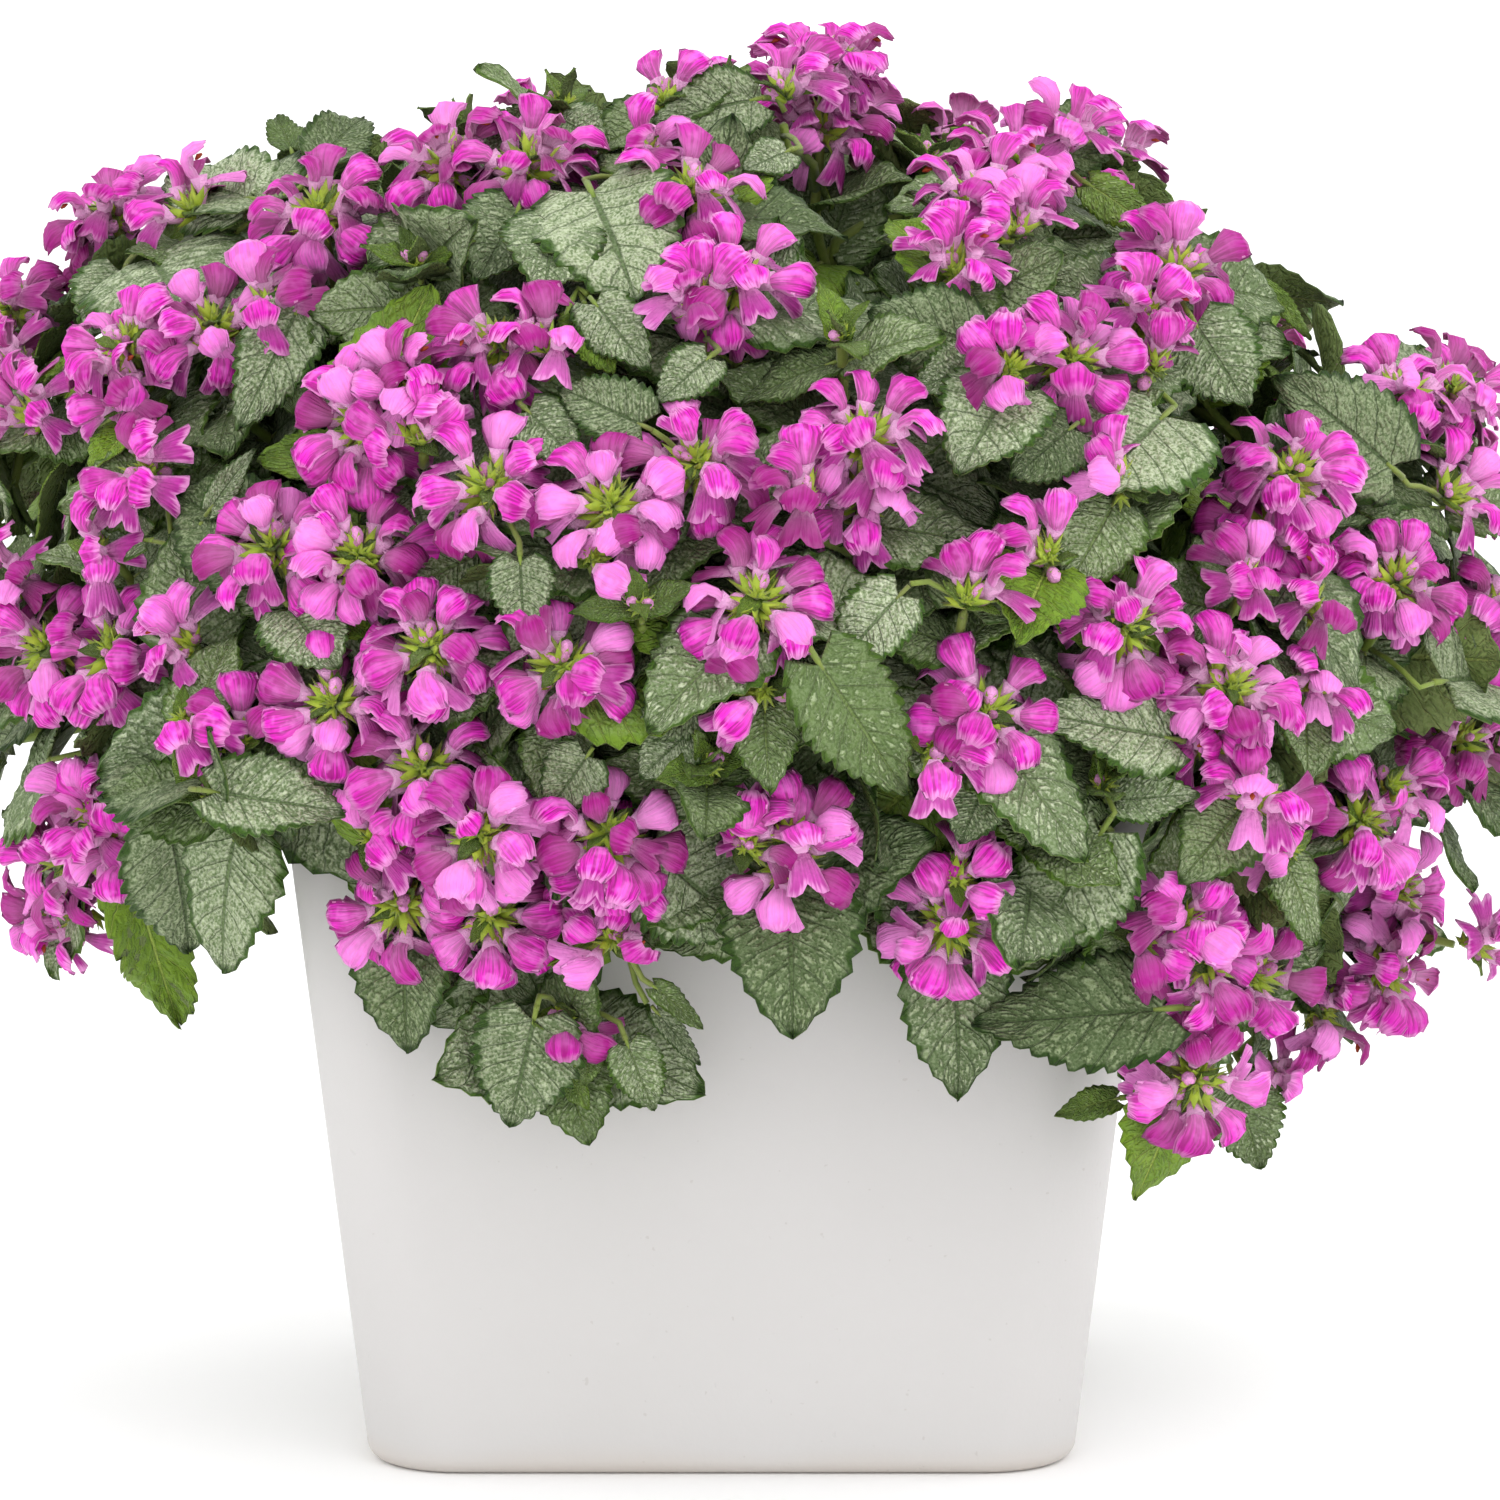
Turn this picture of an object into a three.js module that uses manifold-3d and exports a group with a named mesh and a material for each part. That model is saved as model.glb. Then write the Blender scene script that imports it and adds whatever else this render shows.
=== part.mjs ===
// A spotted dead nettle in bloom, in a square planter. Millimetres, +Z up.
// The origin is the middle of the planter's underside and the front looks along -Y.
import * as THREE from "three";
import { mergeVertices } from "three/addons/utils/BufferGeometryUtils.js";
import Module from "manifold-3d";

const wasm = await Module();
wasm.setup();

// Planter
const RIM_HALF = 120.7; // half the width across the rim
const BASE_HALF = 98.5;
const PLANTER_HEIGHT = 200;
const WALL = 6;
const FLOOR = 8;
const CORNER_RADIUS = 26; // of the upright corners, at the rim
const CORNER_STEPS = 3;
const FOOT_ROUND = 4.5; // rounding of the bottom edge
const RIM_ROUND = 1.8;
const DRAIN_RADIUS = 5;
const DRAIN_PLACE = 46; // of each drain hole, from the middle line
const GAP = 0.35; // between neighbours that touch
const TOUCH_VOLUME = 1e-7; // mm3 that two solids may share and still count as apart

// Soil
const SOIL_TOP = 183;
const SOIL_BUMP = 2.4;
const SOIL_RINGS = 2;

// The mound of foliage, on which the middles of the flower heads lie
const MOUND_Z = 238; // height of its widest level
const MOUND_ACROSS = 222;
const MOUND_DEEP = 186;
const MOUND_ABOVE = 155;
const MOUND_BELOW = 190;
const MOUND_TAPER = 0.75; // its front, seen from above: below 0.5 is boxy, above 1 pointed
const MOUND_CROWN = 0.62; // the same for its outline seen from the side
const OVERHANG = 27; // least way of a head's middle from the planter's wall
const LEAN_TO_EYE = 0.5;

// Where the plant is seen from in the photograph: a pixel is a direction from this eye
const EYE_DISTANCE = 1750;
const EYE_RISE = THREE.MathUtils.degToRad(7);
const LOOK_AT = new THREE.Vector3(8, 0, 189.6);
const PHOTO_MIDDLE = 750;
const PIXELS_PER_RADIAN = 6076;
const EYE_ROUNDS = 6; // of closing in on the mound along such a direction

// Rooted plants
const CROWN_CELL = 7.4; // each stem leaves its own square cell of the crown's top
const CROWN_DEPTH = 24;
const CROWN_PROUD = 3; // height above the soil
const CROWN_NARROWS = 0.3; // share that it narrows by towards its foot
const HIGH_INSIDE = 0.3; // how much a stem's height counts for a place in the inner row

// Stems
const STEM_HALF_LOW = 1.7; // half the width of the square stem
const STEM_HALF_TOP = 1.25;
const STEM_RISE = 26; // the straight stretch out of the soil
const FIRST_RING = 22; // where a stem has narrowed to its own width
const STEM_TIP = 3.2; // way of its point into the head's hollow
const STEM_ARCH = 0.1; // height of its arch, as a share of its length
const END_STRAIGHT = 26; // the longest straight stretch below a head
const OVER_RIM = 213; // height at which a low one crosses the planter's wall
const RIM_REACH = 70; // one that ends less than this above it is led over the rim
const RIM_SHARE = 0.35; // of its end's height above that, where it crosses
const WALL_ROUNDS = 8; // of halving the way to the wall
const ROUTE_STEP = 4;
const LONGEST_STEP = 70; // between two rings of corners
const SHORTEST_STEP = 9;
const BEND_STEP = 5; // first sideways move of a stem that isn't clear, and each next one
const BEND_RINGS = 6;
const BEND_TURNS = 8;
const EARLY_BEND = 0.6; // share of that move that it makes just above the soil

// Leaves
const LEAF_THICK = 0.8;
const LEAF_ROOT = 1.8; // height of the leaf's foot on the stem
const LEAF_TEST_GAP = 0.4; // how far from its own stem a leaf is tested
// The pairs of leaves on a stem, by their way below its end
const LEAF_PAIRS = [
  { below: 3, length: 42 },
  { below: 36, length: 52 },
];
const TIP_PAIRS = [
  { below: 4, length: 28 },
  { below: 17, length: 44 },
  { below: 46, length: 52 },
];
const TWO_PAIRS_EVERY = 9; // of the flowering stems in the photograph's sight
// Outline of one half of a blade, with its teeth far larger than life: way along it and
// half width, as shares of its length
const LEAF_EDGE = [
  [0.15, 0.38],
  [0.37, 0.32],
  [0.55, 0.32],
];
const LEAF_MIDDLE = 0.42; // where the midrib bends
const LEAF_FOLD = 0.22;
const LEAF_CURL = 0.2;
const LEAF_OUT = 0.75; // how far it faces outward, against upward
const LEAF_UP = 0.65;
// What a blade tries in turn until it is clear of its neighbours: its share of its full
// length, its rise from the stem's side and its turn to a side, both in degrees
const LEAF_SHRINKS = [1, 0.85];
const LEAF_LIFTS = [32, 12, 52, -8];
const LEAF_SWAYS = [0, 22, -22];
const SIGHT_STEPS = [0.35, 0.7, 1]; // places along a blade that are looked at from the eye
const SIGHT_CLEAR = 19; // how far they keep beside the line from the eye to a flower head
const LEAF_LOOSE = 7; // degrees that its rise varies by

// Flower heads
const COROLLAS = 6;
const CORE_RADIUS = 4.4;
const CORE_HALF = 2.4;
const CORE_DOME = 4;
const WHORL_APART = 19; // from one whorl to the next below it
const JOINED_APART = 25; // between two heads that have grown into each other
const JOINED_VOLUME = 1; // mm3 that they share at least
const JOINED_TURN = 0.1; // what the second is turned by until they do, in corollas
const SOCKET = 4; // depth of the hollow that the stem's end stands in
const HEAD_GAP = 1.4; // below the head, to where its stem narrows to a point
const HEAD_SIZE = 0.93;
// Side view of one corolla: way out from the head's axis, height, and half width
const COROLLA = {
  back: [11.5, 10.5, 0],
  hood: [15, 8.2, 5.6],
  tip: [20.5, 7.4, 0],
  mouth: [11.5, 3.2, 0],
  lip: [18, -2.2, 0],
};

// Each rooted plant: its place in the soil, the way it faces, and where its stems end.
// An end in the photograph is [column, row, rise of the stem's end in degrees, kind].
// One out of the photograph's sight is [turn from the front in degrees, height, rise, kind].
// "one" and "two" are heads of one and two whorls, "joined" is one that has grown into the
// head before it, and "leafy" is a shoot's tip without flowers.
const PLANTS = [
  {
    foot: [-76, -60],
    facing: 225,
    seen: [
      [72, 860, 5, "one"],
      [50, 650, 30, "one"],
      [160, 645, 40, "joined"],
      [335, 705, 35, "one"],
      [275, 550, 40, "one"],
      [365, 545, 45, "joined"],
      [212, 800, 25, "leafy"],
    ],
    behind: [],
  },
  {
    foot: [-27, -74],
    facing: 265,
    seen: [
      [430, 650, 40, "one"],
      [425, 770, 30, "one"],
      [485, 850, 15, "joined"],
      [400, 905, 5, "one"],
      [515, 920, 5, "joined"],
      [562, 668, 35, "one"],
      [608, 835, 40, "two"],
      [560, 1050, -30, "leafy"],
    ],
    behind: [],
  },
  {
    foot: [27, -74],
    facing: 275,
    seen: [
      [757, 602, 45, "one"],
      [790, 865, 15, "one"],
      [950, 925, 5, "one"],
      [985, 715, 35, "one"],
      [1125, 630, 25, "one"],
      [710, 770, 30, "leafy"],
      [1040, 830, 20, "leafy"],
    ],
    behind: [],
  },
  {
    foot: [76, -60],
    facing: 315,
    seen: [
      [1250, 975, 0, "one"],
      [1155, 905, 15, "joined"],
      [1195, 1080, -15, "one"],
      [1385, 972, 5, "one"],
      [1455, 915, 10, "joined"],
      [1358, 822, 30, "one"],
      [1228, 690, 45, "two"],
    ],
    behind: [],
  },
  {
    foot: [-76, 8],
    facing: 180,
    seen: [
      [12, 310, 50, "one"],
      [112, 215, 65, "one"],
      [215, 330, 60, "one"],
      [128, 390, 30, "joined"],
      [368, 425, 25, "one"],
    ],
    behind: [
      [284, 236, 25, "one"],
      [262, 300, 45, "leafy"],
      [264, 190, -10, "leafy"],
    ],
  },
  {
    foot: [-12, -16],
    facing: 270,
    seen: [
      [500, 345, 60, "one"],
      [490, 490, 40, "one"],
      [612, 508, 40, "one"],
      [700, 455, 50, "joined"],
      [735, 285, 60, "one"],
      [865, 440, 60, "two"],
      [842, 345, 60, "leafy"],
    ],
    behind: [],
  },
  {
    foot: [78, 8],
    facing: 0,
    seen: [
      [1290, 475, 60, "two"],
      [1400, 395, 60, "one"],
      [1478, 430, 50, "joined"],
      [1395, 585, 50, "one"],
      [1458, 742, 35, "one"],
    ],
    behind: [
      [78, 232, 25, "one"],
      [98, 286, 35, "leafy"],
      [96, 190, -10, "leafy"],
    ],
  },
  {
    foot: [-44, 64],
    facing: 120,
    seen: [
      [320, 215, 65, "one"],
      [450, 165, 75, "one"],
      [550, 170, 75, "joined"],
      [563, 114, 85, "leafy"],
    ],
    behind: [
      [212, 335, 55, "one"],
      [238, 248, 25, "one"],
      [202, 225, 15, "one"],
      [226, 305, 40, "leafy"],
      [220, 190, -20, "leafy"],
      [196, 352, 60, "leafy"],
      [240, 338, 50, "leafy"],
    ],
  },
  {
    foot: [48, 64],
    facing: 60,
    seen: [
      [692, 195, 70, "one"],
      [825, 60, 85, "two"],
    ],
    behind: [
      [152, 335, 55, "one"],
      [122, 248, 25, "one"],
      [160, 225, 15, "one"],
      [181, 300, 40, "one"],
      [134, 305, 40, "leafy"],
      [140, 190, -20, "leafy"],
      [160, 347, 60, "leafy"],
      [128, 318, 50, "leafy"],
    ],
  },
  {
    foot: [36, 0],
    facing: 300,
    seen: [
      [985, 200, 65, "one"],
      [1065, 125, 75, "joined"],
      [1175, 275, 35, "one"],
      [1070, 362, 25, "one"],
    ],
    behind: [[172, 366, 70, "leafy"]],
  },
];

const UP = new THREE.Vector3(0, 0, 1);
const FRONT = new THREE.Vector3(0, -1, 0);
const radians = THREE.MathUtils.degToRad;

// A point between two others.
const between = (a, b, share) => a.clone().lerp(b, share);

// A share from 0 to 1 that looks random and is the same each time for the same three numbers.
function chance(a, b, c) {
  const wave = Math.sin(a * 12.9898 + b * 78.233 + c * 37.719) * 43758.5453;
  return wave - Math.floor(wave);
}

// What is left of a vector once its part along a unit vector is taken away, at length 1.
const across = (vector, axis) => vector.clone().addScaledVector(axis, -vector.dot(axis)).normalize();

// The corners of a square, anticlockwise.
const SQUARE = [
  [-1, -1],
  [1, -1],
  [1, 1],
  [-1, 1],
];

// A solid from its vertices and its triangles, both as plain lists of numbers.
function solidFrom(places, corners) {
  const vertProperties = new Float32Array(places);
  const triVerts = new Uint32Array(corners);
  return new wasm.Manifold(new wasm.Mesh({ numProp: 3, vertProperties, triVerts }));
}

// A closed surface that grows face by face.
class Skin {
  constructor() {
    this.points = [];
    this.faces = [];
  }
  add(point) {
    this.points.push(point);
    return this.points.length - 1;
  }
  triangle(a, b, c) {
    this.faces.push(a, b, c);
  }
  // The corners of a four-sided face, as they are seen from outside.
  quad({ tl, bl, br, tr }) {
    this.triangle(tl, bl, br);
    this.triangle(tl, br, tr);
  }
  fan(loop, middle) {
    loop.forEach((corner, i) => this.triangle(corner, loop[(i + 1) % loop.length], middle));
  }
  solid() {
    return solidFrom(this.points.flatMap(({ x, y, z }) => [x, y, z]), this.faces);
  }
}

// A three.js geometry as a solid.
function solidOf(geometry) {
  const bare = geometry.clone();
  bare.deleteAttribute("normal");
  bare.deleteAttribute("uv");
  const merged = mergeVertices(bare, 1e-4);
  return solidFrom(merged.attributes.position.array, merged.index.array);
}

// A solid as a three.js geometry.
function geometryOf(solid) {
  const { numProp, numVert, vertProperties, triVerts } = solid.getMesh();
  const place = new Float32Array(numVert * 3);
  for (let i = 0; i < numVert; i++) {
    place.set(vertProperties.subarray(i * numProp, i * numProp + 3), i * 3);
  }
  const geometry = new THREE.BufferGeometry();
  geometry.setAttribute("position", new THREE.BufferAttribute(place, 3));
  geometry.setIndex(new THREE.BufferAttribute(triVerts, 1));
  geometry.computeVertexNormals();
  return geometry;
}

// The planter

const wallSlope = (RIM_HALF - BASE_HALF) / PLANTER_HEIGHT;
const planterHalf = (z) => BASE_HALF + wallSlope * z;

// A square outline with rounded corners at one height, anticlockwise seen from above.
function roundedSquare(half, radius, z) {
  const loop = [];
  for (let corner = 0; corner < 4; corner++) {
    const turn = radians(45 + 90 * corner);
    const middleX = Math.sign(Math.cos(turn)) * (half - radius);
    const middleY = Math.sign(Math.sin(turn)) * (half - radius);
    for (let step = 0; step <= CORNER_STEPS; step++) {
      const angle = radians(90 * corner + (90 * step) / CORNER_STEPS);
      const x = middleX + radius * Math.cos(angle);
      const y = middleY + radius * Math.sin(angle);
      loop.push(new THREE.Vector3(x, y, z));
    }
  }
  return loop;
}

// A closed skin through outlines from the lowest of its outside, round to its last one.
function lofted(outlines, lastMiddle) {
  const skin = new Skin();
  const loops = outlines.map((outline) => outline.map((point) => skin.add(point)));
  skin.fan([...loops[0]].reverse(), skin.add(new THREE.Vector3(0, 0, outlines[0][0].z)));
  for (let k = 1; k < loops.length; k++) {
    const low = loops[k - 1];
    const high = loops[k];
    low.forEach((corner, i) => {
      const next = (i + 1) % low.length;
      skin.quad({ tl: high[i], bl: corner, br: low[next], tr: high[next] });
    });
  }
  skin.fan(loops.at(-1), skin.add(lastMiddle));
  return skin;
}

function planterOutline(z, inset) {
  return roundedSquare(planterHalf(z) - inset, CORNER_RADIUS - inset, z);
}

function planter() {
  const outside = [
    [0, FOOT_ROUND],
    [FOOT_ROUND * 0.3, FOOT_ROUND * 0.3],
    [FOOT_ROUND, 0],
    [PLANTER_HEIGHT - RIM_ROUND, 0],
    [PLANTER_HEIGHT, RIM_ROUND],
  ];
  const inside = [
    [PLANTER_HEIGHT, WALL - RIM_ROUND],
    [PLANTER_HEIGHT - RIM_ROUND, WALL],
    [FLOOR, WALL],
  ];
  const outlines = [...outside, ...inside].map(([z, inset]) => planterOutline(z, inset));
  const tub = lofted(outlines, new THREE.Vector3(0, 0, FLOOR)).solid();
  const drill = new THREE.CylinderGeometry(DRAIN_RADIUS, DRAIN_RADIUS, 3 * FLOOR, 6);
  drill.rotateX(Math.PI / 2);
  let drained = tub;
  for (const x of [-DRAIN_PLACE, DRAIN_PLACE]) {
    for (const y of [-DRAIN_PLACE, DRAIN_PLACE]) {
      drained = drained.subtract(solidOf(drill.clone().translate(x, y, FLOOR / 2)));
    }
  }
  return drained;
}

// The soil: its top is raised in low bumps by a formula, and each crown has a plain hole.
function soilHeight(x, y) {
  return SOIL_TOP + SOIL_BUMP * Math.sin(x * 0.07 + 1) * Math.cos(y * 0.09 - x * 0.03);
}

function soil() {
  const sides = [FLOOR + GAP, SOIL_TOP - 6].map((z) => planterOutline(z, WALL + GAP));
  const rim = sides[1];
  const top = [];
  for (let ring = 0; ring < SOIL_RINGS; ring++) {
    const share = 1 - ring / SOIL_RINGS;
    const shrunk = rim.map((p) => new THREE.Vector3(p.x * share, p.y * share, 0));
    shrunk.forEach((p) => {
      p.z = soilHeight(p.x, p.y) - (ring === 0 ? 3 : 0);
    });
    top.push(shrunk);
  }
  const middle = new THREE.Vector3(0, 0, soilHeight(0, 0));
  let made = lofted([...sides, ...top], middle).solid();
  for (const plant of PLANTS) made = made.subtract(crownHole(plant));
  return made;
}

// Places on the mound

// How far forward the mound stands at a place seen from the front.
function moundDepth(x, z) {
  const v = (z - MOUND_Z) / (z > MOUND_Z ? MOUND_ABOVE : MOUND_BELOW);
  const left = Math.max(0, 1 - (x / MOUND_ACROSS) ** 2 - v * v);
  return MOUND_DEEP * left ** MOUND_TAPER;
}

const EYE = new THREE.Vector3(0, -Math.cos(EYE_RISE), Math.sin(EYE_RISE))
  .multiplyScalar(EYE_DISTANCE)
  .add(LOOK_AT);

// The place on the mound's front that a pixel of the photograph shows.
function seenPlace(column, row) {
  const ahead = LOOK_AT.clone().sub(EYE).normalize();
  const above = new THREE.Vector3(0, Math.sin(EYE_RISE), Math.cos(EYE_RISE));
  const ray = ahead
    .addScaledVector(above, (PHOTO_MIDDLE - row) / PIXELS_PER_RADIAN)
    .add(new THREE.Vector3((column - PHOTO_MIDDLE) / PIXELS_PER_RADIAN, 0, 0));
  let place = EYE.clone();
  let depth = MOUND_DEEP / 2;
  for (let round = 0; round < EYE_ROUNDS; round++) {
    place = EYE.clone().addScaledVector(ray, (-depth - EYE.y) / ray.y);
    depth = moundDepth(place.x, place.z);
    const wall = planterHalf(Math.min(place.z, PLANTER_HEIGHT));
    if (place.z < PLANTER_HEIGHT + OVERHANG && Math.abs(place.x) < wall + OVERHANG) {
      depth = Math.max(depth, wall + OVERHANG);
    }
  }
  return place;
}

// A place round the mound, by its turn from the front and its height.
function roundPlace(turn, z) {
  const v = (z - MOUND_Z) / (z > MOUND_Z ? MOUND_ABOVE : MOUND_BELOW);
  const narrow = (1 - v * v) ** MOUND_CROWN;
  const angle = radians(turn);
  return new THREE.Vector3(
    MOUND_ACROSS * narrow * Math.sin(angle),
    -MOUND_DEEP * narrow * Math.cos(angle),
    z,
  );
}

// The way out of the mound at a place, level with the ground.
function outward(place) {
  return new THREE.Vector3(place.x / MOUND_ACROSS ** 2, place.y / MOUND_DEEP ** 2, 0).normalize();
}

// The ends of all stems, each with its place and the way it points.
function stemEnds() {
  const found = [];
  const add = (plant, place, way, rise, kind, behind) => {
    if (kind === "joined") {
      const partner = found.at(-1);
      place.copy(across(place.sub(partner.place), partner.axis));
      place.multiplyScalar(JOINED_APART).add(partner.place);
    }
    const lift = radians(rise);
    const axis = way.multiplyScalar(Math.cos(lift)).addScaledVector(UP, Math.sin(lift));
    if (kind === "joined") axis.add(found.at(-1).axis).normalize();
    const count = { leafy: 0, two: 2 }[kind] ?? 1;
    const end = { index: found.length, place, axis, kind, behind };
    end.whorls = Array.from({ length: count }, (_, w) =>
      place.clone().addScaledVector(axis, -w * WHORL_APART),
    );
    end.drop = count === 0 ? 0 : (count - 1) * WHORL_APART + CORE_HALF + HEAD_GAP;
    found.push(end);
    plant.stems.push(end);
  };
  for (const plant of PLANTS) {
    plant.stems = [];
    for (const [column, row, rise, kind] of plant.seen) {
      const place = seenPlace(column, row);
      // What the photograph shows from the front leans a little towards the eye.
      const way = outward(place).addScaledVector(FRONT, LEAN_TO_EYE).normalize();
      add(plant, place, way, rise, kind, false);
    }
    for (const [turn, height, rise, kind] of plant.behind) {
      const place = roundPlace(turn, height);
      add(plant, place, outward(place), rise, kind, true);
    }
  }
  return found;
}

// Flower heads

// One corolla grown from a side of the core: a tube, a hood over its mouth, and a lip.
function growCorolla(skin, corners, centre, axis, out, size) {
  const side = axis.clone().cross(out);
  const at = ([way, height, half], hand) => {
    const point = centre.clone().addScaledVector(out, way * size);
    point.addScaledVector(axis, height * size);
    return skin.add(point.addScaledVector(side, half * size * hand));
  };
  const back = at(COROLLA.back, 0);
  const tip = at(COROLLA.tip, 0);
  const mouth = at(COROLLA.mouth, 0);
  const lip = at(COROLLA.lip, 0);
  const half = (top, bottom, hood, face) => {
    face(bottom, top, hood);
    face(top, back, hood);
    face(hood, back, tip);
    face(hood, tip, mouth);
    face(bottom, hood, mouth);
    face(bottom, mouth, lip);
  };
  half(corners.tr, corners.br, at(COROLLA.hood, 1), (i, j, k) => skin.triangle(i, j, k));
  half(corners.tl, corners.bl, at(COROLLA.hood, -1), (i, j, k) => skin.triangle(i, k, j));
  skin.triangle(corners.tr, corners.tl, back);
  skin.triangle(corners.bl, corners.br, lip);
}

// A head: whorls of corollas round a core, which has a hollow below for the stem's end.
function flowerHead(end, turn) {
  const { place, axis, index, kind } = end;
  const whorls = kind === "two" ? 2 : 1;
  const side = across(Math.abs(axis.x) < 0.8 ? new THREE.Vector3(1, 0, 0) : UP, axis);
  const front = axis.clone().cross(side);
  const skin = new Skin();
  const loops = [];
  const addLoop = (height, radius, phase) => {
    const loop = [];
    for (let k = 0; k < COROLLAS; k++) {
      const angle = phase + ((k - 0.5) * 2 * Math.PI) / COROLLAS;
      const point = place
        .clone()
        .addScaledVector(axis, height)
        .addScaledVector(side, radius * Math.cos(angle))
        .addScaledVector(front, radius * Math.sin(angle));
      loop.push(skin.add(point));
    }
    loops.push(loop);
  };
  const phase = ((chance(index, 1, 0) + turn) * 2 * Math.PI) / COROLLAS;
  for (let w = whorls - 1; w >= 0; w--) {
    addLoop(-w * WHORL_APART - CORE_HALF, CORE_RADIUS, phase);
    addLoop(-w * WHORL_APART + CORE_HALF, CORE_RADIUS, phase);
  }
  const foot = -(whorls - 1) * WHORL_APART - CORE_HALF;
  skin.fan([...loops[0]].reverse(), skin.add(place.clone().addScaledVector(axis, foot + SOCKET)));
  for (let k = 1; k < loops.length; k++) {
    const low = loops[k - 1];
    const high = loops[k];
    const isWhorl = k % 2 === 1;
    const down = (whorls - 1 - (k - 1) / 2) * WHORL_APART;
    low.forEach((corner, i) => {
      const next = (i + 1) % COROLLAS;
      const corners = { tl: high[i], bl: corner, br: low[next], tr: high[next] };
      if (!isWhorl) {
        skin.quad(corners);
        return;
      }
      const angle = phase + (i * 2 * Math.PI) / COROLLAS;
      const out = side
        .clone()
        .multiplyScalar(Math.cos(angle))
        .addScaledVector(front, Math.sin(angle));
      const centre = place.clone().addScaledVector(axis, -down);
      const size = HEAD_SIZE * (0.94 + 0.1 * chance(index, i, k));
      growCorolla(skin, corners, centre, axis, out, size);
    });
  }
  const crest = place.clone().addScaledVector(axis, CORE_HALF + CORE_DOME);
  skin.fan(loops.at(-1), skin.add(crest));
  return skin.solid();
}

// Rooted plants

// The crown's own directions: outward over the soil, and along its row of stems.
function crownFrame(plant) {
  const angle = radians(plant.facing);
  const out = new THREE.Vector3(Math.cos(angle), Math.sin(angle), 0);
  const along = new THREE.Vector3(-out.y, out.x, 0);
  return { out, along, foot: new THREE.Vector3(plant.foot[0], plant.foot[1], SOIL_TOP) };
}

// A corner of the grid of cells on the crown's top: row 0 is the outermost.
function crownCorner(plant, row, column) {
  const { out, along, foot } = crownFrame(plant);
  return foot
    .addScaledVector(UP, CROWN_PROUD)
    .addScaledVector(out, (1 - row) * CROWN_CELL)
    .addScaledVector(along, (column - plant.columns / 2) * CROWN_CELL);
}

// The plain hole in the soil that a crown stands in.
function crownHole(plant) {
  const { out, along, foot } = crownFrame(plant);
  const hole = new THREE.BoxGeometry(
    2 * (CROWN_CELL + GAP),
    plant.columns * CROWN_CELL + 2 * GAP,
    2 * (CROWN_DEPTH + GAP),
  );
  hole.applyMatrix4(new THREE.Matrix4().makeBasis(out, along, UP).setPosition(foot));
  return solidOf(hole);
}

// Gives each stem of a plant a cell of its crown: the outermost and lowest ends leave the
// front row, the others the back row, and each row is in the order of its ends.
function seatStems(plant) {
  const { out, along, foot } = crownFrame(plant);
  const reach = (end) => end.place.clone().sub(foot);
  const outness = (end) => reach(end).dot(out) - HIGH_INSIDE * reach(end).z;
  const sorted = [...plant.stems].sort((a, b) => outness(b) - outness(a));
  plant.columns = Math.ceil(sorted.length / 2);
  [sorted.slice(0, plant.columns), sorted.slice(plant.columns)].forEach((row, r) => {
    row.sort((a, b) => reach(a).dot(along) - reach(b).dot(along));
    row.forEach((end, c) => {
      end.cell = [r, c];
      end.cellCorners = [
        [1, 0],
        [0, 0],
        [0, 1],
        [1, 1],
      ].map(([dr, dc]) => crownCorner(plant, r + dr, c + dc));
    });
  });
}

// A smooth curve through points, as a list of places a few millimetres apart.
function smoothRoute(points) {
  const route = [];
  for (let k = 0; k + 1 < points.length; k++) {
    const [a, b] = [points[k], points[k + 1]];
    const before = points[k - 1] ?? a.clone().multiplyScalar(2).sub(b);
    const after = points[k + 2] ?? b.clone().multiplyScalar(2).sub(a);
    const leave = b.clone().sub(before).multiplyScalar(0.5);
    const arrive = after.clone().sub(a).multiplyScalar(0.5);
    const steps = Math.max(2, Math.ceil(a.distanceTo(b) / ROUTE_STEP));
    for (let i = 0; i < steps; i++) {
      const t = i / steps;
      const point = a.clone().multiplyScalar(2 * t ** 3 - 3 * t * t + 1);
      point.addScaledVector(b, -2 * t ** 3 + 3 * t * t);
      point.addScaledVector(leave, t ** 3 - 2 * t * t + t);
      point.addScaledVector(arrive, t ** 3 - t * t);
      route.push(point);
    }
  }
  route.push(points.at(-1).clone());
  return route;
}

const fromMiddle = ({ x, y }) => Math.max(Math.abs(x), Math.abs(y));

// The point half way along a stem. One that ends low outside the planter crosses its wall
// above the rim, and any other rises in an arch.
function middleOfStem(start, target) {
  const isOverRim = fromMiddle(target) > RIM_HALF - 2 * WALL && target.z < OVER_RIM + RIM_REACH;
  if (!isOverRim) {
    const arch = STEM_ARCH * start.distanceTo(target);
    return between(start, target, 0.5).addScaledVector(UP, arch);
  }
  const wall = RIM_HALF - WALL;
  let [near, far] = [start, target];
  for (let round = 0; round < WALL_ROUNDS; round++) {
    const half = between(near, far, 0.5);
    if (fromMiddle(half) > wall) far = half;
    else near = half;
  }
  return near.clone().setZ(OVER_RIM + RIM_SHARE * Math.max(0, target.z - OVER_RIM));
}

// The points that a stem's curve goes through, from its cell to its end.
function stemPoints(start, target, axis, bend) {
  const rise = start.clone().addScaledVector(UP, STEM_RISE).addScaledVector(bend, EARLY_BEND);
  const middle = middleOfStem(start, target).add(bend);
  const straight = Math.min(END_STRAIGHT, 0.4 * middle.distanceTo(target));
  return [start, rise, middle, target.clone().addScaledVector(axis, -straight), target];
}

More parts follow.
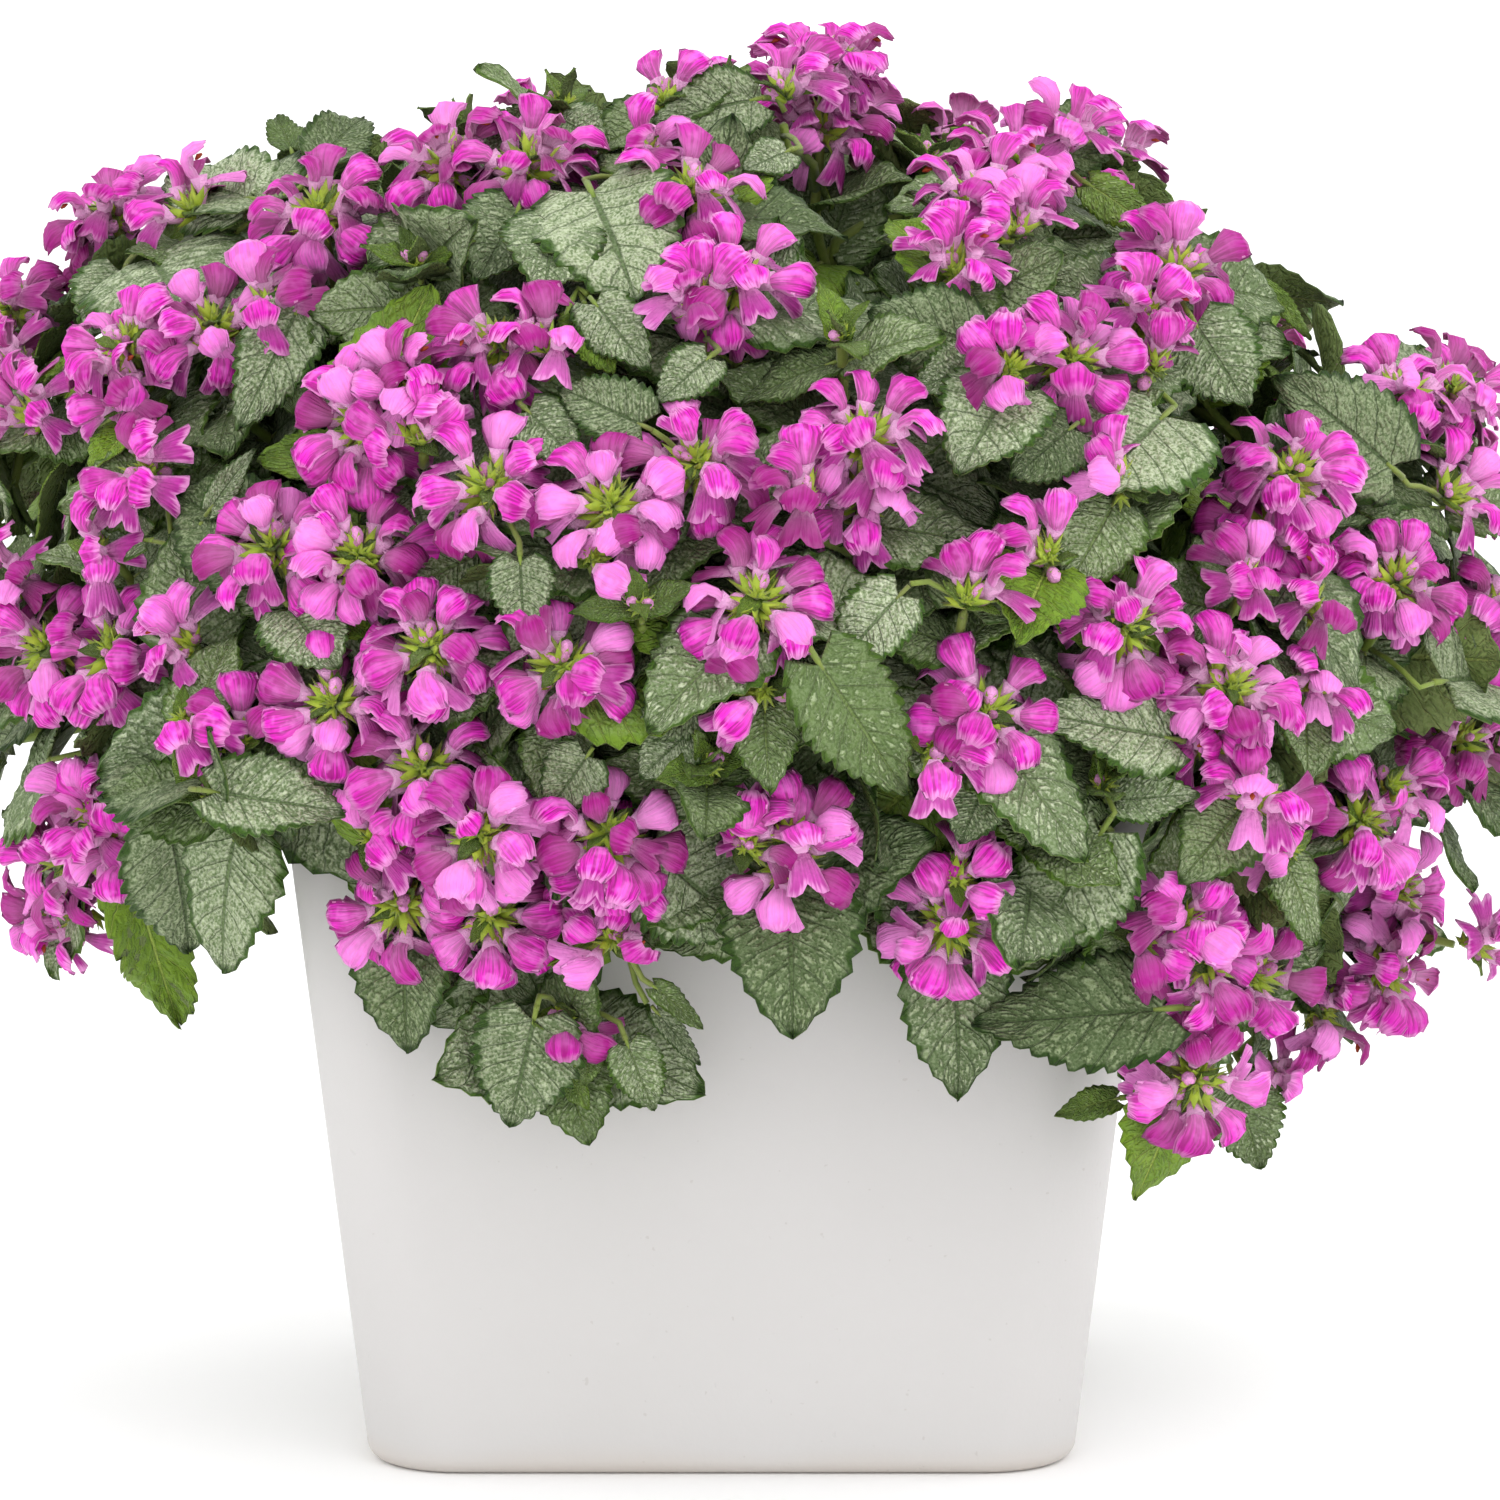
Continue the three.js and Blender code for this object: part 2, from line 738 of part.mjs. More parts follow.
// Small moves that a stem's middle tries in turn until it passes clear of the others.
function* bends() {
  yield new THREE.Vector3();
  for (let ring = 1; ring <= BEND_RINGS; ring++) {
    for (let k = 0; k < BEND_TURNS; k++) {
      const angle = (k * 2 * Math.PI) / BEND_TURNS + ring;
      const lift = 0.5 * (k % 2);
      const bend = new THREE.Vector3(Math.cos(angle), Math.sin(angle), lift);
      yield bend.multiplyScalar(BEND_STEP * ring);
    }
  }
}

// Leads each stem from its cell to its head, clear of the heads and of the stems before it.
function routeStems() {
  for (const end of ends) {
    const [a, , c] = end.cellCorners;
    const start = between(a, c, 0.5);
    const target = end.place.clone().addScaledVector(end.axis, -end.drop);
    end.point = target.clone().addScaledVector(end.axis, STEM_TIP);
    for (const bend of bends()) {
      const route = smoothRoute(stemPoints(start, target, end.axis, bend));
      end.rings = stemRings(end, route, GAP);
      if (neighbours.clear(bareStem(end))) {
        end.rings = stemRings(end, route, 0);
        neighbours.add(bareStem(end));
        break;
      }
    }
  }
}

// Leaves

// A blade grown from a foot of four corners: toothed, folded along its midrib and curled.
function growLeaf(skin, foot, { root, along, flat, length, twist }) {
  const lateral = along.clone().cross(flat);
  const at = (way, half, lift) => {
    const curl = LEAF_CURL * way * way * (1 + twist);
    const rise = (LEAF_FOLD * Math.abs(half) - curl) * length + lift;
    const point = root.clone().addScaledVector(along, way * length);
    return skin.add(point.addScaledVector(lateral, -half * length).addScaledVector(flat, rise));
  };
  const surface = (lift) => {
    const left = LEAF_EDGE.map(([way, half]) => at(way, -half, lift));
    const right = LEAF_EDGE.map(([way, half]) => at(way, half, lift));
    return { edge: [...left, at(1, 0, lift), ...right.reverse()], middle: at(LEAF_MIDDLE, 0, lift) };
  };
  const top = surface(LEAF_THICK / 2);
  const bottom = surface(-LEAF_THICK / 2);
  const topLoop = [foot.tr, foot.tl, ...top.edge];
  const bottomLoop = [foot.br, foot.bl, ...bottom.edge];
  skin.fan(topLoop, top.middle);
  skin.fan([...bottomLoop].reverse(), bottom.middle);
  for (let i = 1; i < topLoop.length; i++) {
    const next = (i + 1) % topLoop.length;
    skin.triangle(topLoop[next], topLoop[i], bottomLoop[i]);
    skin.triangle(topLoop[next], bottomLoop[i], bottomLoop[next]);
  }
}

// The same blade as a body of its own, to see whether it is clear of the others.
function leafSolid(leaf) {
  const skin = new Skin();
  const own = {};
  for (const [name, corner] of Object.entries(leaf.corners)) {
    own[name] = skin.add(corner.clone().addScaledVector(leaf.along, LEAF_TEST_GAP));
  }
  growLeaf(skin, own, leaf);
  skin.quad({ tl: own.tr, bl: own.br, br: own.bl, tr: own.tl });
  return skin.solid();
}

// The pairs of leaves that a stem bears, from its end down.
function leafPairs({ kind, behind, index }) {
  if (behind) return LEAF_PAIRS;
  if (kind === "leafy") return TIP_PAIRS;
  return index % TWO_PAIRS_EVERY === 0 ? LEAF_PAIRS : LEAF_PAIRS.slice(0, 1);
}

// Where a stem has rings of corners along its length, with a leaf pair between some of them.
function stemStops(whole, end) {
  const pairs = leafPairs(end);
  const stops = [{ at: FIRST_RING }];
  [...pairs].reverse().forEach((pair, k) => {
    const from = stops.at(-1).at;
    const top = whole - pair.below;
    if (top - LEAF_ROOT < from + SHORTEST_STEP) return;
    const extra = Math.floor((top - from) / LONGEST_STEP);
    for (let i = 1; i <= extra; i++) stops.push({ at: from + ((top - from) * i) / (extra + 1) });
    stops.push({ at: top - LEAF_ROOT, pair, order: pairs.length - 1 - k }, { at: top });
  });
  return stops;
}

// The stem as rings of four corners, from the cell of its crown up.
function stemRings(end, route, extra) {
  const way = [0];
  for (let i = 1; i < route.length; i++) way.push(way[i - 1] + route[i].distanceTo(route[i - 1]));
  const whole = way.at(-1);
  const rings = [{ corners: end.cellCorners }];
  let side = end.cellCorners[1].clone().sub(end.cellCorners[0]).normalize();
  for (const stop of stemStops(whole, end)) {
    const i = Math.max(1, way.findIndex((w) => w >= stop.at));
    const share = (stop.at - way[i - 1]) / (way[i] - way[i - 1]);
    const place = between(route[i - 1], route[i], share);
    const ahead = route[Math.min(i + 1, route.length - 1)].clone().sub(route[i - 1]).normalize();
    side = across(side, ahead);
    const up = ahead.clone().cross(side);
    const half = THREE.MathUtils.lerp(STEM_HALF_LOW, STEM_HALF_TOP, stop.at / whole) + extra;
    const corners = SQUARE.map(([u, v]) =>
      place.clone().addScaledVector(side, u * half).addScaledVector(up, v * half),
    );
    const facings = [up.clone().negate(), side, up, side.clone().negate()];
    rings.push({ ...stop, corners, ahead, facings, leaves: {} });
  }
  return rings;
}

// The blade that leaves one side of a stem between two rings, tried in several ways.
function* leafTries(end, ring, next, s) {
  const corners = {
    tl: next.corners[s],
    tr: next.corners[(s + 1) % 4],
    bl: ring.corners[s],
    br: ring.corners[(s + 1) % 4],
  };
  const root = between(between(corners.tl, corners.br, 0.5), between(corners.tr, corners.bl, 0.5), 0.5);
  const sunward = outward(root).multiplyScalar(LEAF_OUT).addScaledVector(UP, LEAF_UP).normalize();
  const luck = (draw) => 2 * chance(end.index, 4 * ring.order + s, draw) - 1;
  for (const shrink of LEAF_SHRINKS) {
    for (const lift of LEAF_LIFTS) {
      for (const sway of LEAF_SWAYS) {
        const angle = radians(lift + LEAF_LOOSE * luck(1));
        const along = ring.facings[s].clone().multiplyScalar(Math.cos(angle));
        along.addScaledVector(ring.ahead, Math.sin(angle));
        const above = across(ring.ahead, along).add(across(sunward, along));
        const flat = across(above, along);
        along.addScaledVector(along.clone().cross(flat), Math.tan(radians(sway))).normalize();
        const length = ring.pair.length * shrink * (1 + 0.1 * luck(2));
        yield { corners, root, along, flat: across(flat, along), length, twist: 0.5 * luck(3) };
      }
    }
  }
}

// If a blade stands between the photograph's eye and a flower head that it shows.
function hidesHead(leaf) {
  const places = SIGHT_STEPS.map((way) =>
    leaf.root.clone().addScaledVector(leaf.along, way * leaf.length).sub(EYE),
  );
  const heads = ends.filter((end) => !end.behind).flatMap((end) => end.whorls);
  return heads.some((head) => {
    const sight = head.clone().sub(EYE);
    const far = sight.length();
    sight.normalize();
    return places.some((place) => {
      const along = place.dot(sight);
      return along < far && place.clone().addScaledVector(sight, -along).length() < SIGHT_CLEAR;
    });
  });
}

// Puts each leaf where it is clear of all that is there and hides no head, or leaves it out.
function placeLeaves() {
  for (const end of ends) {
    for (const [k, ring] of end.rings.entries()) {
      if (!ring.pair) continue;
      const first = ring.order % 2;
      for (const s of [first, first + 2]) {
        for (const leaf of leafTries(end, ring, end.rings[k + 1], s)) {
          if (hidesHead(leaf)) continue;
          const solid = leafSolid(leaf);
          if (!neighbours.clear(solid)) continue;
          neighbours.add(solid);
          ring.leaves[s] = leaf;
          break;
        }
      }
    }
  }
}

// The solids that a new one has to be clear of, each with its box.
class Neighbours {
  constructor(...solids) {
    this.list = [];
    for (const solid of solids) this.add(solid);
  }
  add(solid) {
    this.list.push({ solid, box: solid.boundingBox() });
  }
  clear(solid) {
    const box = solid.boundingBox();
    const isApart = (other) =>
      [0, 1, 2].some((k) => other.max[k] < box.min[k] || other.min[k] > box.max[k]);
    return this.list.every(
      (other) => isApart(other.box) || other.solid.intersect(solid).volume() < TOUCH_VOLUME,
    );
  }
}

// The sides of a stem between two rings, with a leaf on some of them.
function growStretch(skin, low, high, leaves) {
  for (let s = 0; s < 4; s++) {
    const next = (s + 1) % 4;
    const corners = { tl: high[s], bl: low[s], br: low[next], tr: high[next] };
    if (leaves[s]) {
      growLeaf(skin, corners, leaves[s]);
    } else {
      skin.quad(corners);
    }
  }
}

// A stem from the four corners of its foot to its point, which stands in the head's hollow.
function growStem(skin, foot, end) {
  const loops = end.rings.map((ring, k) =>
    k === 0 ? foot : ring.corners.map((corner) => skin.add(corner)),
  );
  for (let k = 1; k < loops.length; k++) {
    growStretch(skin, loops[k - 1], loops[k], end.rings[k - 1].leaves ?? {});
  }
  skin.fan(loops.at(-1), skin.add(end.point));
}

// A stem without its leaves, as a body of its own.
function bareStem(end) {
  const skin = new Skin();
  const foot = end.cellCorners.map((corner) => skin.add(corner));
  skin.quad({ tl: foot[3], bl: foot[2], br: foot[1], tr: foot[0] });
  growStem(skin, foot, end);
  return skin.solid();
}

// One rooted plant: its crown, with a stem on each used cell of its top, and their leaves.
function leafyPlant(plant) {
  const skin = new Skin();
  const { columns } = plant;
  const grid = [0, 1, 2].map((r) =>
    Array.from({ length: columns + 1 }, (_, c) => skin.add(crownCorner(plant, r, c))),
  );
  for (let r = 0; r < 2; r++) {
    for (let c = 0; c < columns; c++) {
      const cell = [grid[r + 1][c], grid[r][c], grid[r][c + 1], grid[r + 1][c + 1]];
      const end = plant.stems.find(({ cell: [row, column] }) => row === r && column === c);
      if (end) {
        growStem(skin, cell, end);
      } else {
        skin.quad({ tl: cell[3], bl: cell[0], br: cell[1], tr: cell[2] });
      }
    }
  }
  const rim = [grid[2][0], grid[1][0], ...grid[0], grid[1].at(-1), ...grid[2].slice(1).reverse()];
  const sole = new THREE.Vector3(...plant.foot, SOIL_TOP - CROWN_DEPTH);
  const under = rim.map((corner) => {
    const place = skin.points[corner].clone().setZ(sole.z);
    return skin.add(place.lerp(sole, CROWN_NARROWS));
  });
  rim.forEach((corner, i) => {
    const next = (i + 1) % rim.length;
    skin.quad({ tl: corner, bl: under[i], br: under[next], tr: rim[next] });
  });
  skin.fan([...under].reverse(), skin.add(sole));
  return skin.solid();
}

// Turns a joined head until it has grown into the one before it, and fuses the two.
function joinHeads(before, end) {
  let turn = 0;
  let after = flowerHead(end, turn);
  while (before.intersect(after).volume() < JOINED_VOLUME && turn < 1) {
    turn += JOINED_TURN;
    after = flowerHead(end, turn);
  }
  return before.add(after);
}

// Which heads, stems and leaves there are

const ends = stemEnds();
for (const plant of PLANTS) seatStems(plant);
const heads = [];
for (const end of ends) {
  if (end.kind === "joined") heads.push(joinHeads(heads.pop(), end));
  else if (end.kind !== "leafy") heads.push(flowerHead(end, 0));
}
const tub = planter();
const bed = soil();
const neighbours = new Neighbours(tub, bed, ...heads);
routeStems();
placeLeaves();

// The scene graph

const PLANTER_WHITE = { color: "#dcd9d6", roughness: 0.55 };
const SOIL_BROWN = { color: "#3b2b20", roughness: 0.95 };
const LEAF_SILVER = { color: "#8fa587", roughness: 0.7 };
const PETAL_MAGENTA = { color: "#d43cbe", roughness: 0.5 };

const pottedPlant = new THREE.Group();

function addPiece(name, solid, look) {
  const material = new THREE.MeshStandardMaterial({ ...look, metalness: 0 });
  const mesh = new THREE.Mesh(geometryOf(solid), material);
  mesh.name = name;
  pottedPlant.add(mesh);
}

addPiece("planter", tub, PLANTER_WHITE);
addPiece("soil", bed, SOIL_BROWN);
PLANTS.forEach((plant, i) => addPiece(`plant_${i + 1}`, leafyPlant(plant), LEAF_SILVER));
heads.forEach((head, i) => addPiece(`head_${i + 1}`, head, PETAL_MAGENTA));

export default pottedPlant;
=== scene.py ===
# A spotted dead nettle in bloom, in a square planter: the fine pieces that stand for the
# nodes of its CAD frame. The forms are worked out in millimetres and built in metres, with
# +Z up and the front along -Y.
import math

import bpy
import numpy as np
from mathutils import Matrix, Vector
from mathutils.kdtree import KDTree

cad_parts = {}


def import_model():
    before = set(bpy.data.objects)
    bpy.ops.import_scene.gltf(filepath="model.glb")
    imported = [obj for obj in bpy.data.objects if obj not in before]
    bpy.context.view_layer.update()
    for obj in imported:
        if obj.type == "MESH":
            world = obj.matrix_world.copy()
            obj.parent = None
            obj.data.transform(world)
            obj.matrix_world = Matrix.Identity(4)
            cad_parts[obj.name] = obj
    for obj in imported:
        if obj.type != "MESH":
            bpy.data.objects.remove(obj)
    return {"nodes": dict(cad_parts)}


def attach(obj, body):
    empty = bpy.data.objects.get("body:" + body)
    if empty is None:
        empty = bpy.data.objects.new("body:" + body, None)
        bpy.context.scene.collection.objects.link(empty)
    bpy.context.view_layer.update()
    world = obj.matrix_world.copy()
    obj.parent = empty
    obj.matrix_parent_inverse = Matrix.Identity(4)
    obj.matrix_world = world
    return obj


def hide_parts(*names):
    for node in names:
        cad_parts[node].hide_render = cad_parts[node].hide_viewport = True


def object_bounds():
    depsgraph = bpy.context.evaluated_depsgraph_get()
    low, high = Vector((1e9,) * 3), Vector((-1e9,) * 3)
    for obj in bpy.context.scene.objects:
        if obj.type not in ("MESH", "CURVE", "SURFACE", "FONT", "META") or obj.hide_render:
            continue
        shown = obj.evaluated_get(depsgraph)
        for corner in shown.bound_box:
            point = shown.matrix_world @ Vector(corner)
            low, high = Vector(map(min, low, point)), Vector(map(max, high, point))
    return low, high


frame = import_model()
cad_box = [list(corner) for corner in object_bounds()]

MM = 0.001
X, UP, FRONT = np.array([1.0, 0, 0]), np.array([0, 0, 1.0]), np.array([0, -1.0, 0])
box_low, box_high = (np.array(corner) / MM for corner in cad_box)

# The planter and its soil, as in the frame
RIM_HALF, BASE_HALF, PLANTER_HEIGHT = 120.7, 98.5, 200.0
WALL, FLOOR, CORNER_RADIUS, FOOT_ROUND, RIM_ROUND = 6.0, 8.0, 26.0, 4.5, 1.8
DRAIN_RADIUS, DRAIN_PLACE = 5.0, 46.0
SOIL_TOP, SOIL_BUMP, SOIL_GAP = 183.0, 2.4, 0.35
CORNER_STEPS, DRAIN_STEPS, SOIL_RINGS = 12, 48, 16

# The mound of foliage
MOUND_Z, MOUND_ACROSS, MOUND_DEEP = 238.0, 222.0, 186.0
MOUND_ABOVE, MOUND_BELOW = 155.0, 190.0
MOUND_TAPER, MOUND_CROWN, OVERHANG, LEAN_TO_EYE = 0.75, 0.62, 27.0, 0.5

# The photograph's eye
EYE_DISTANCE, EYE_RISE = 1750.0, math.radians(7)
LOOK_AT = np.array([8.0, 0, 189.6])
PHOTO_MIDDLE, PIXELS_PER_RADIAN, EYE_ROUNDS = 750, 6076, 6
PIXELS_PER_MM = PIXELS_PER_RADIAN / 1600
TIP_ROOM = 30  # how far below the upper edge a shoot ends that must not show, in pixels
EYE = EYE_DISTANCE * np.array([0, -math.cos(EYE_RISE), math.sin(EYE_RISE)]) + LOOK_AT
EYE_ABOVE = np.array([0, math.sin(EYE_RISE), math.cos(EYE_RISE)])

# Rooted plants and stems
CROWN_CELL, CROWN_DEPTH, CROWN_PROUD, HIGH_INSIDE = 7.4, 24.0, 3.0, 0.3
STEM_HALF_LOW, STEM_HALF_TOP, STEM_RISE, FIRST_RING = 1.7, 1.25, 26.0, 22.0
STEM_ARCH, END_STRAIGHT, STRAIGHT_SHARE = 0.1, 26.0, 0.4
OVER_RIM, RIM_REACH, RIM_SHARE, WALL_ROUNDS = 213.0, 70.0, 0.35, 8
ROUTE_STEP, LONGEST_STEP, SHORTEST_STEP = 4.0, 70.0, 9.0
BEND_STEP, BEND_RINGS, BEND_TURNS, BEND_RISE, EARLY_BEND = 5.0, 6, 8, 0.5, 0.6

# The frame's leaves, with each pair's way below the end of its stem and its length
LEAF_THICK, LEAF_ROOT = 0.8, 1.8
LEAF_PAIRS = [(3, 42), (36, 52)]
TIP_PAIRS = [(4, 28), (17, 44), (46, 52)]
TWO_PAIRS_EVERY = 9
LEAF_CURL, LEAF_OUT, LEAF_UP, LEAF_LOOSE = 0.2, 0.75, 0.65, 7.0
LEAF_SHRINKS, LEAF_LIFTS, LEAF_SWAYS = (1, 0.85), (32, 12, 52, -8), (0, 22, -22)
LENGTH_VARIES, TWIST_VARIES = 0.1, 0.5

# The frame's flower heads
COROLLAS, CORE_HALF, HEAD_GAP = 6, 2.4, 1.4
HEAD_SIZE, SIZE_LEAST, SIZE_VARIES = 0.93, 0.94, 0.1
WHORL_APART, JOINED_APART = 19.0, 25.0
COROLLA_TIP = (20.5, 7.4)  # out of the head and along its axis
PHASE_TRIES = 11

# How far from a corner of the frame a place may be to be taken for it, in millimetres
SAME_PLACE, NEAR_PLACE = 0.06, 1

# Each rooted plant: foot, facing, then the ends of its stems. One in the photograph is
# (column, row, rise, kind), one out of its sight is (turn, height, rise, kind).
PLANTS = [
    ((-76, -60), 225, [
        (72, 860, 5, "one"), (50, 650, 30, "one"), (160, 645, 40, "joined"),
        (335, 705, 35, "one"), (275, 550, 40, "one"), (365, 545, 45, "joined"),
        (212, 800, 25, "leafy")], []),
    ((-27, -74), 265, [
        (430, 650, 40, "one"), (425, 770, 30, "one"), (485, 850, 15, "joined"),
        (400, 905, 5, "one"), (515, 920, 5, "joined"), (562, 668, 35, "one"),
        (608, 835, 40, "two"), (560, 1050, -30, "leafy")], []),
    ((27, -74), 275, [
        (757, 602, 45, "one"), (790, 865, 15, "one"), (950, 925, 5, "one"),
        (985, 715, 35, "one"), (1125, 630, 25, "one"), (710, 770, 30, "leafy"),
        (1040, 830, 20, "leafy")], []),
    ((76, -60), 315, [
        (1250, 975, 0, "one"), (1155, 905, 15, "joined"), (1195, 1080, -15, "one"),
        (1385, 972, 5, "one"), (1455, 915, 10, "joined"), (1358, 822, 30, "one"),
        (1228, 690, 45, "two")], []),
    ((-76, 8), 180, [
        (12, 310, 50, "one"), (112, 215, 65, "one"), (215, 330, 60, "one"),
        (128, 390, 30, "joined"), (368, 425, 25, "one")],
     [(284, 236, 25, "one"), (262, 300, 45, "leafy"), (264, 190, -10, "leafy")]),
    ((-12, -16), 270, [
        (500, 345, 60, "one"), (490, 490, 40, "one"), (612, 508, 40, "one"),
        (700, 455, 50, "joined"), (735, 285, 60, "one"), (865, 440, 60, "two"),
        (842, 345, 60, "leafy")], []),
    ((78, 8), 0, [
        (1290, 475, 60, "two"), (1400, 395, 60, "one"), (1478, 430, 50, "joined"),
        (1395, 585, 50, "one"), (1458, 742, 35, "one")],
     [(78, 232, 25, "one"), (98, 286, 35, "leafy"), (96, 190, -10, "leafy")]),
    ((-44, 64), 120, [
        (320, 215, 65, "one"), (450, 165, 75, "one"), (550, 170, 75, "joined"),
        (563, 114, 85, "leafy")],
     [(212, 335, 55, "one"), (238, 248, 25, "one"), (202, 225, 15, "one"),
      (226, 305, 40, "leafy"), (220, 190, -20, "leafy"), (196, 352, 60, "leafy"),
      (240, 338, 50, "leafy")]),
    ((48, 64), 60, [
        (692, 195, 70, "one"), (825, 60, 85, "two")],
     [(152, 335, 55, "one"), (122, 248, 25, "one"), (160, 225, 15, "one"),
      (181, 300, 40, "one"), (134, 305, 40, "leafy"), (140, 190, -20, "leafy"),
      (160, 347, 60, "leafy"), (128, 318, 50, "leafy")]),
    ((36, 0), 300, [
        (985, 200, 65, "one"), (1065, 125, 75, "joined"), (1175, 275, 35, "one"),
        (1070, 362, 25, "one")],
     [(172, 366, 70, "leafy")]),
]

# Side shoots in the photograph: column, row, rise and how many flowers are open
SEEN_SHOOTS = [
    (955, 275, 55, 6), (150, 475, 35, 5), (640, 165, 60, 3), (664, 108, 75, 2),
    (700, 310, 60, 5), (40, 420, 45, 5), (550, 352, 60, 4), (100, 555, 25, 3),
    (186, 722, 25, 2), (245, 748, 30, 4), (590, 560, 30, 2), (955, 882, 25, 3),
    (966, 606, 45, 3), (1050, 562, 45, 3), (1120, 490, 50, 3), (1062, 150, 65, 6),
    (1245, 588, 45, 4), (1443, 500, 45, 4), (196, 650, 30, 4), (268, 316, 55, 4),
    (1008, 374, 35, 5), (786, 100, 75, 4), (1306, 690, 35, 3), (1250, 800, 25, 5),
    (765, 690, 25, 2), (1285, 850, 10, 3), (1385, 790, 30, 3), (1152, 374, 40, 3),
    (560, 1010, -10, 3), (1260, 1075, -20, 2),
    (132, 842, 5, 5), (1100, 790, 40, 0), (420, 270, 60, 0), (640, 610, 40, 0),
    (705, 765, 40, 0), (98, 812, 20, 5), (66, 905, 0, 6), (1140, 322, 50, 7),
    (1318, 1010, -5, 5), (1180, 922, 10, 5), (1206, 962, 0, 5), (1466, 946, -5, 4),
    (928, 752, 30, 3), (408, 400, 45, 6), (420, 446, 40, 4), (195, 215, 60, 4),
    (136, 408, 45, 5), (22, 592, 30, 4), (615, 940, 5, 4), (112, 826, 25, 5),
    (374, 842, 15, 3), (1014, 240, 60, 4), (1310, 612, 40, 4), (84, 912, -5, 6),
    (745, 850, 20, 3), (808, 505, 45, 4), (1134, 936, 5, 3), (792, 845, 35, 5),
]

# Side shoots out of the photograph's sight: turn, height, rise and flowers
BACK_SHOOTS = [
    (100, 262, 25, 6), (88, 205, 5, 5), (112, 228, 15, 6), (130, 272, 30, 6), (147, 262, 25, 5),
    (170, 262, 25, 6), (192, 264, 25, 6), (216, 276, 30, 5), (250, 276, 30, 6),
    (258, 226, 10, 5), (272, 262, 30, 6), (182, 206, 0, 5), (141, 207, 5, 5), (226, 212, 5, 6),
    (246, 204, 0, 5), (128, 300, 35, 5), (168, 328, 50, 5), (197, 322, 45, 5),
    (232, 316, 40, 5), (136, 330, 40, 5), (150, 298, 35, 6), (207, 300, 40, 6),
    (180, 350, 60, 5), (266, 328, 45, 5), (86, 290, 35, 5), (276, 300, 35, 5),
    (180, 372, 75, 5), (152, 360, 65, 0), (208, 366, 65, 4), (118, 356, 65, 4),
    (242, 352, 65, 0), (180, 384, 85, 0), (222, 364, 70, 0), (138, 368, 75, 4),
    (164, 376, 75, 0), (166, 352, 50, 0), (196, 354, 50, 0),
    (140, 350, 50, 0), (220, 344, 50, 0), (118, 344, 50, 0), (252, 340, 50, 0),
]

# Side shoots that fill the top between the stems: x, y, height and flowers
TOP_SHOOTS = [
    (-92, 12, 346, 0), (-60, 36, 352, 5), (-34, 4, 354, 0), (-8, 32, 358, 0), (16, 0, 362, 0),
    (34, 34, 368, 5), (58, 4, 366, 0), (88, 26, 346, 0), (-66, -14, 350, 0), (100, -6, 342, 4),
    (0, 56, 352, 5), (-30, 60, 346, 0), (66, 50, 352, 0), (124, 6, 320, 0), (146, 24, 306, 4),
    (138, -16, 308, 0), (116, 36, 324, 0), (158, 2, 290, 0), (132, 50, 305, 0),
]
TOP_RISE = 75

# Patches of the photograph where the planter is bare: their column, row and reach
BARE = [(385, 1010, 55), (440, 1085, 50), (612, 1005, 34), (740, 1060, 75), (880, 1010, 50),
        (1060, 1110, 60), (560, 1190, 60), (330, 900, 30)]

# The outline of the plant in the photograph, by column and row: its upper edge, and its
# lower one where it hangs beside the planter
UPPER_EDGE = (
    (0, 225), (60, 175), (150, 185), (240, 145), (300, 128), (360, 102), (510, 112), (545, 70),
    (600, 72), (632, 118), (660, 78), (760, 72), (780, 16), (890, 20), (925, 140), (990, 120),
    (1020, 88), (1120, 102), (1135, 200), (1260, 240), (1320, 350), (1500, 360))
LOWER_EDGE = (
    (0, 876), (30, 940), (120, 968), (170, 1045), (200, 968), (300, 948), (310, 1500),
    (1100, 1500), (1120, 1108), (1200, 1146), (1265, 1172), (1300, 1069), (1360, 1030),
    (1435, 1000), (1500, 938))

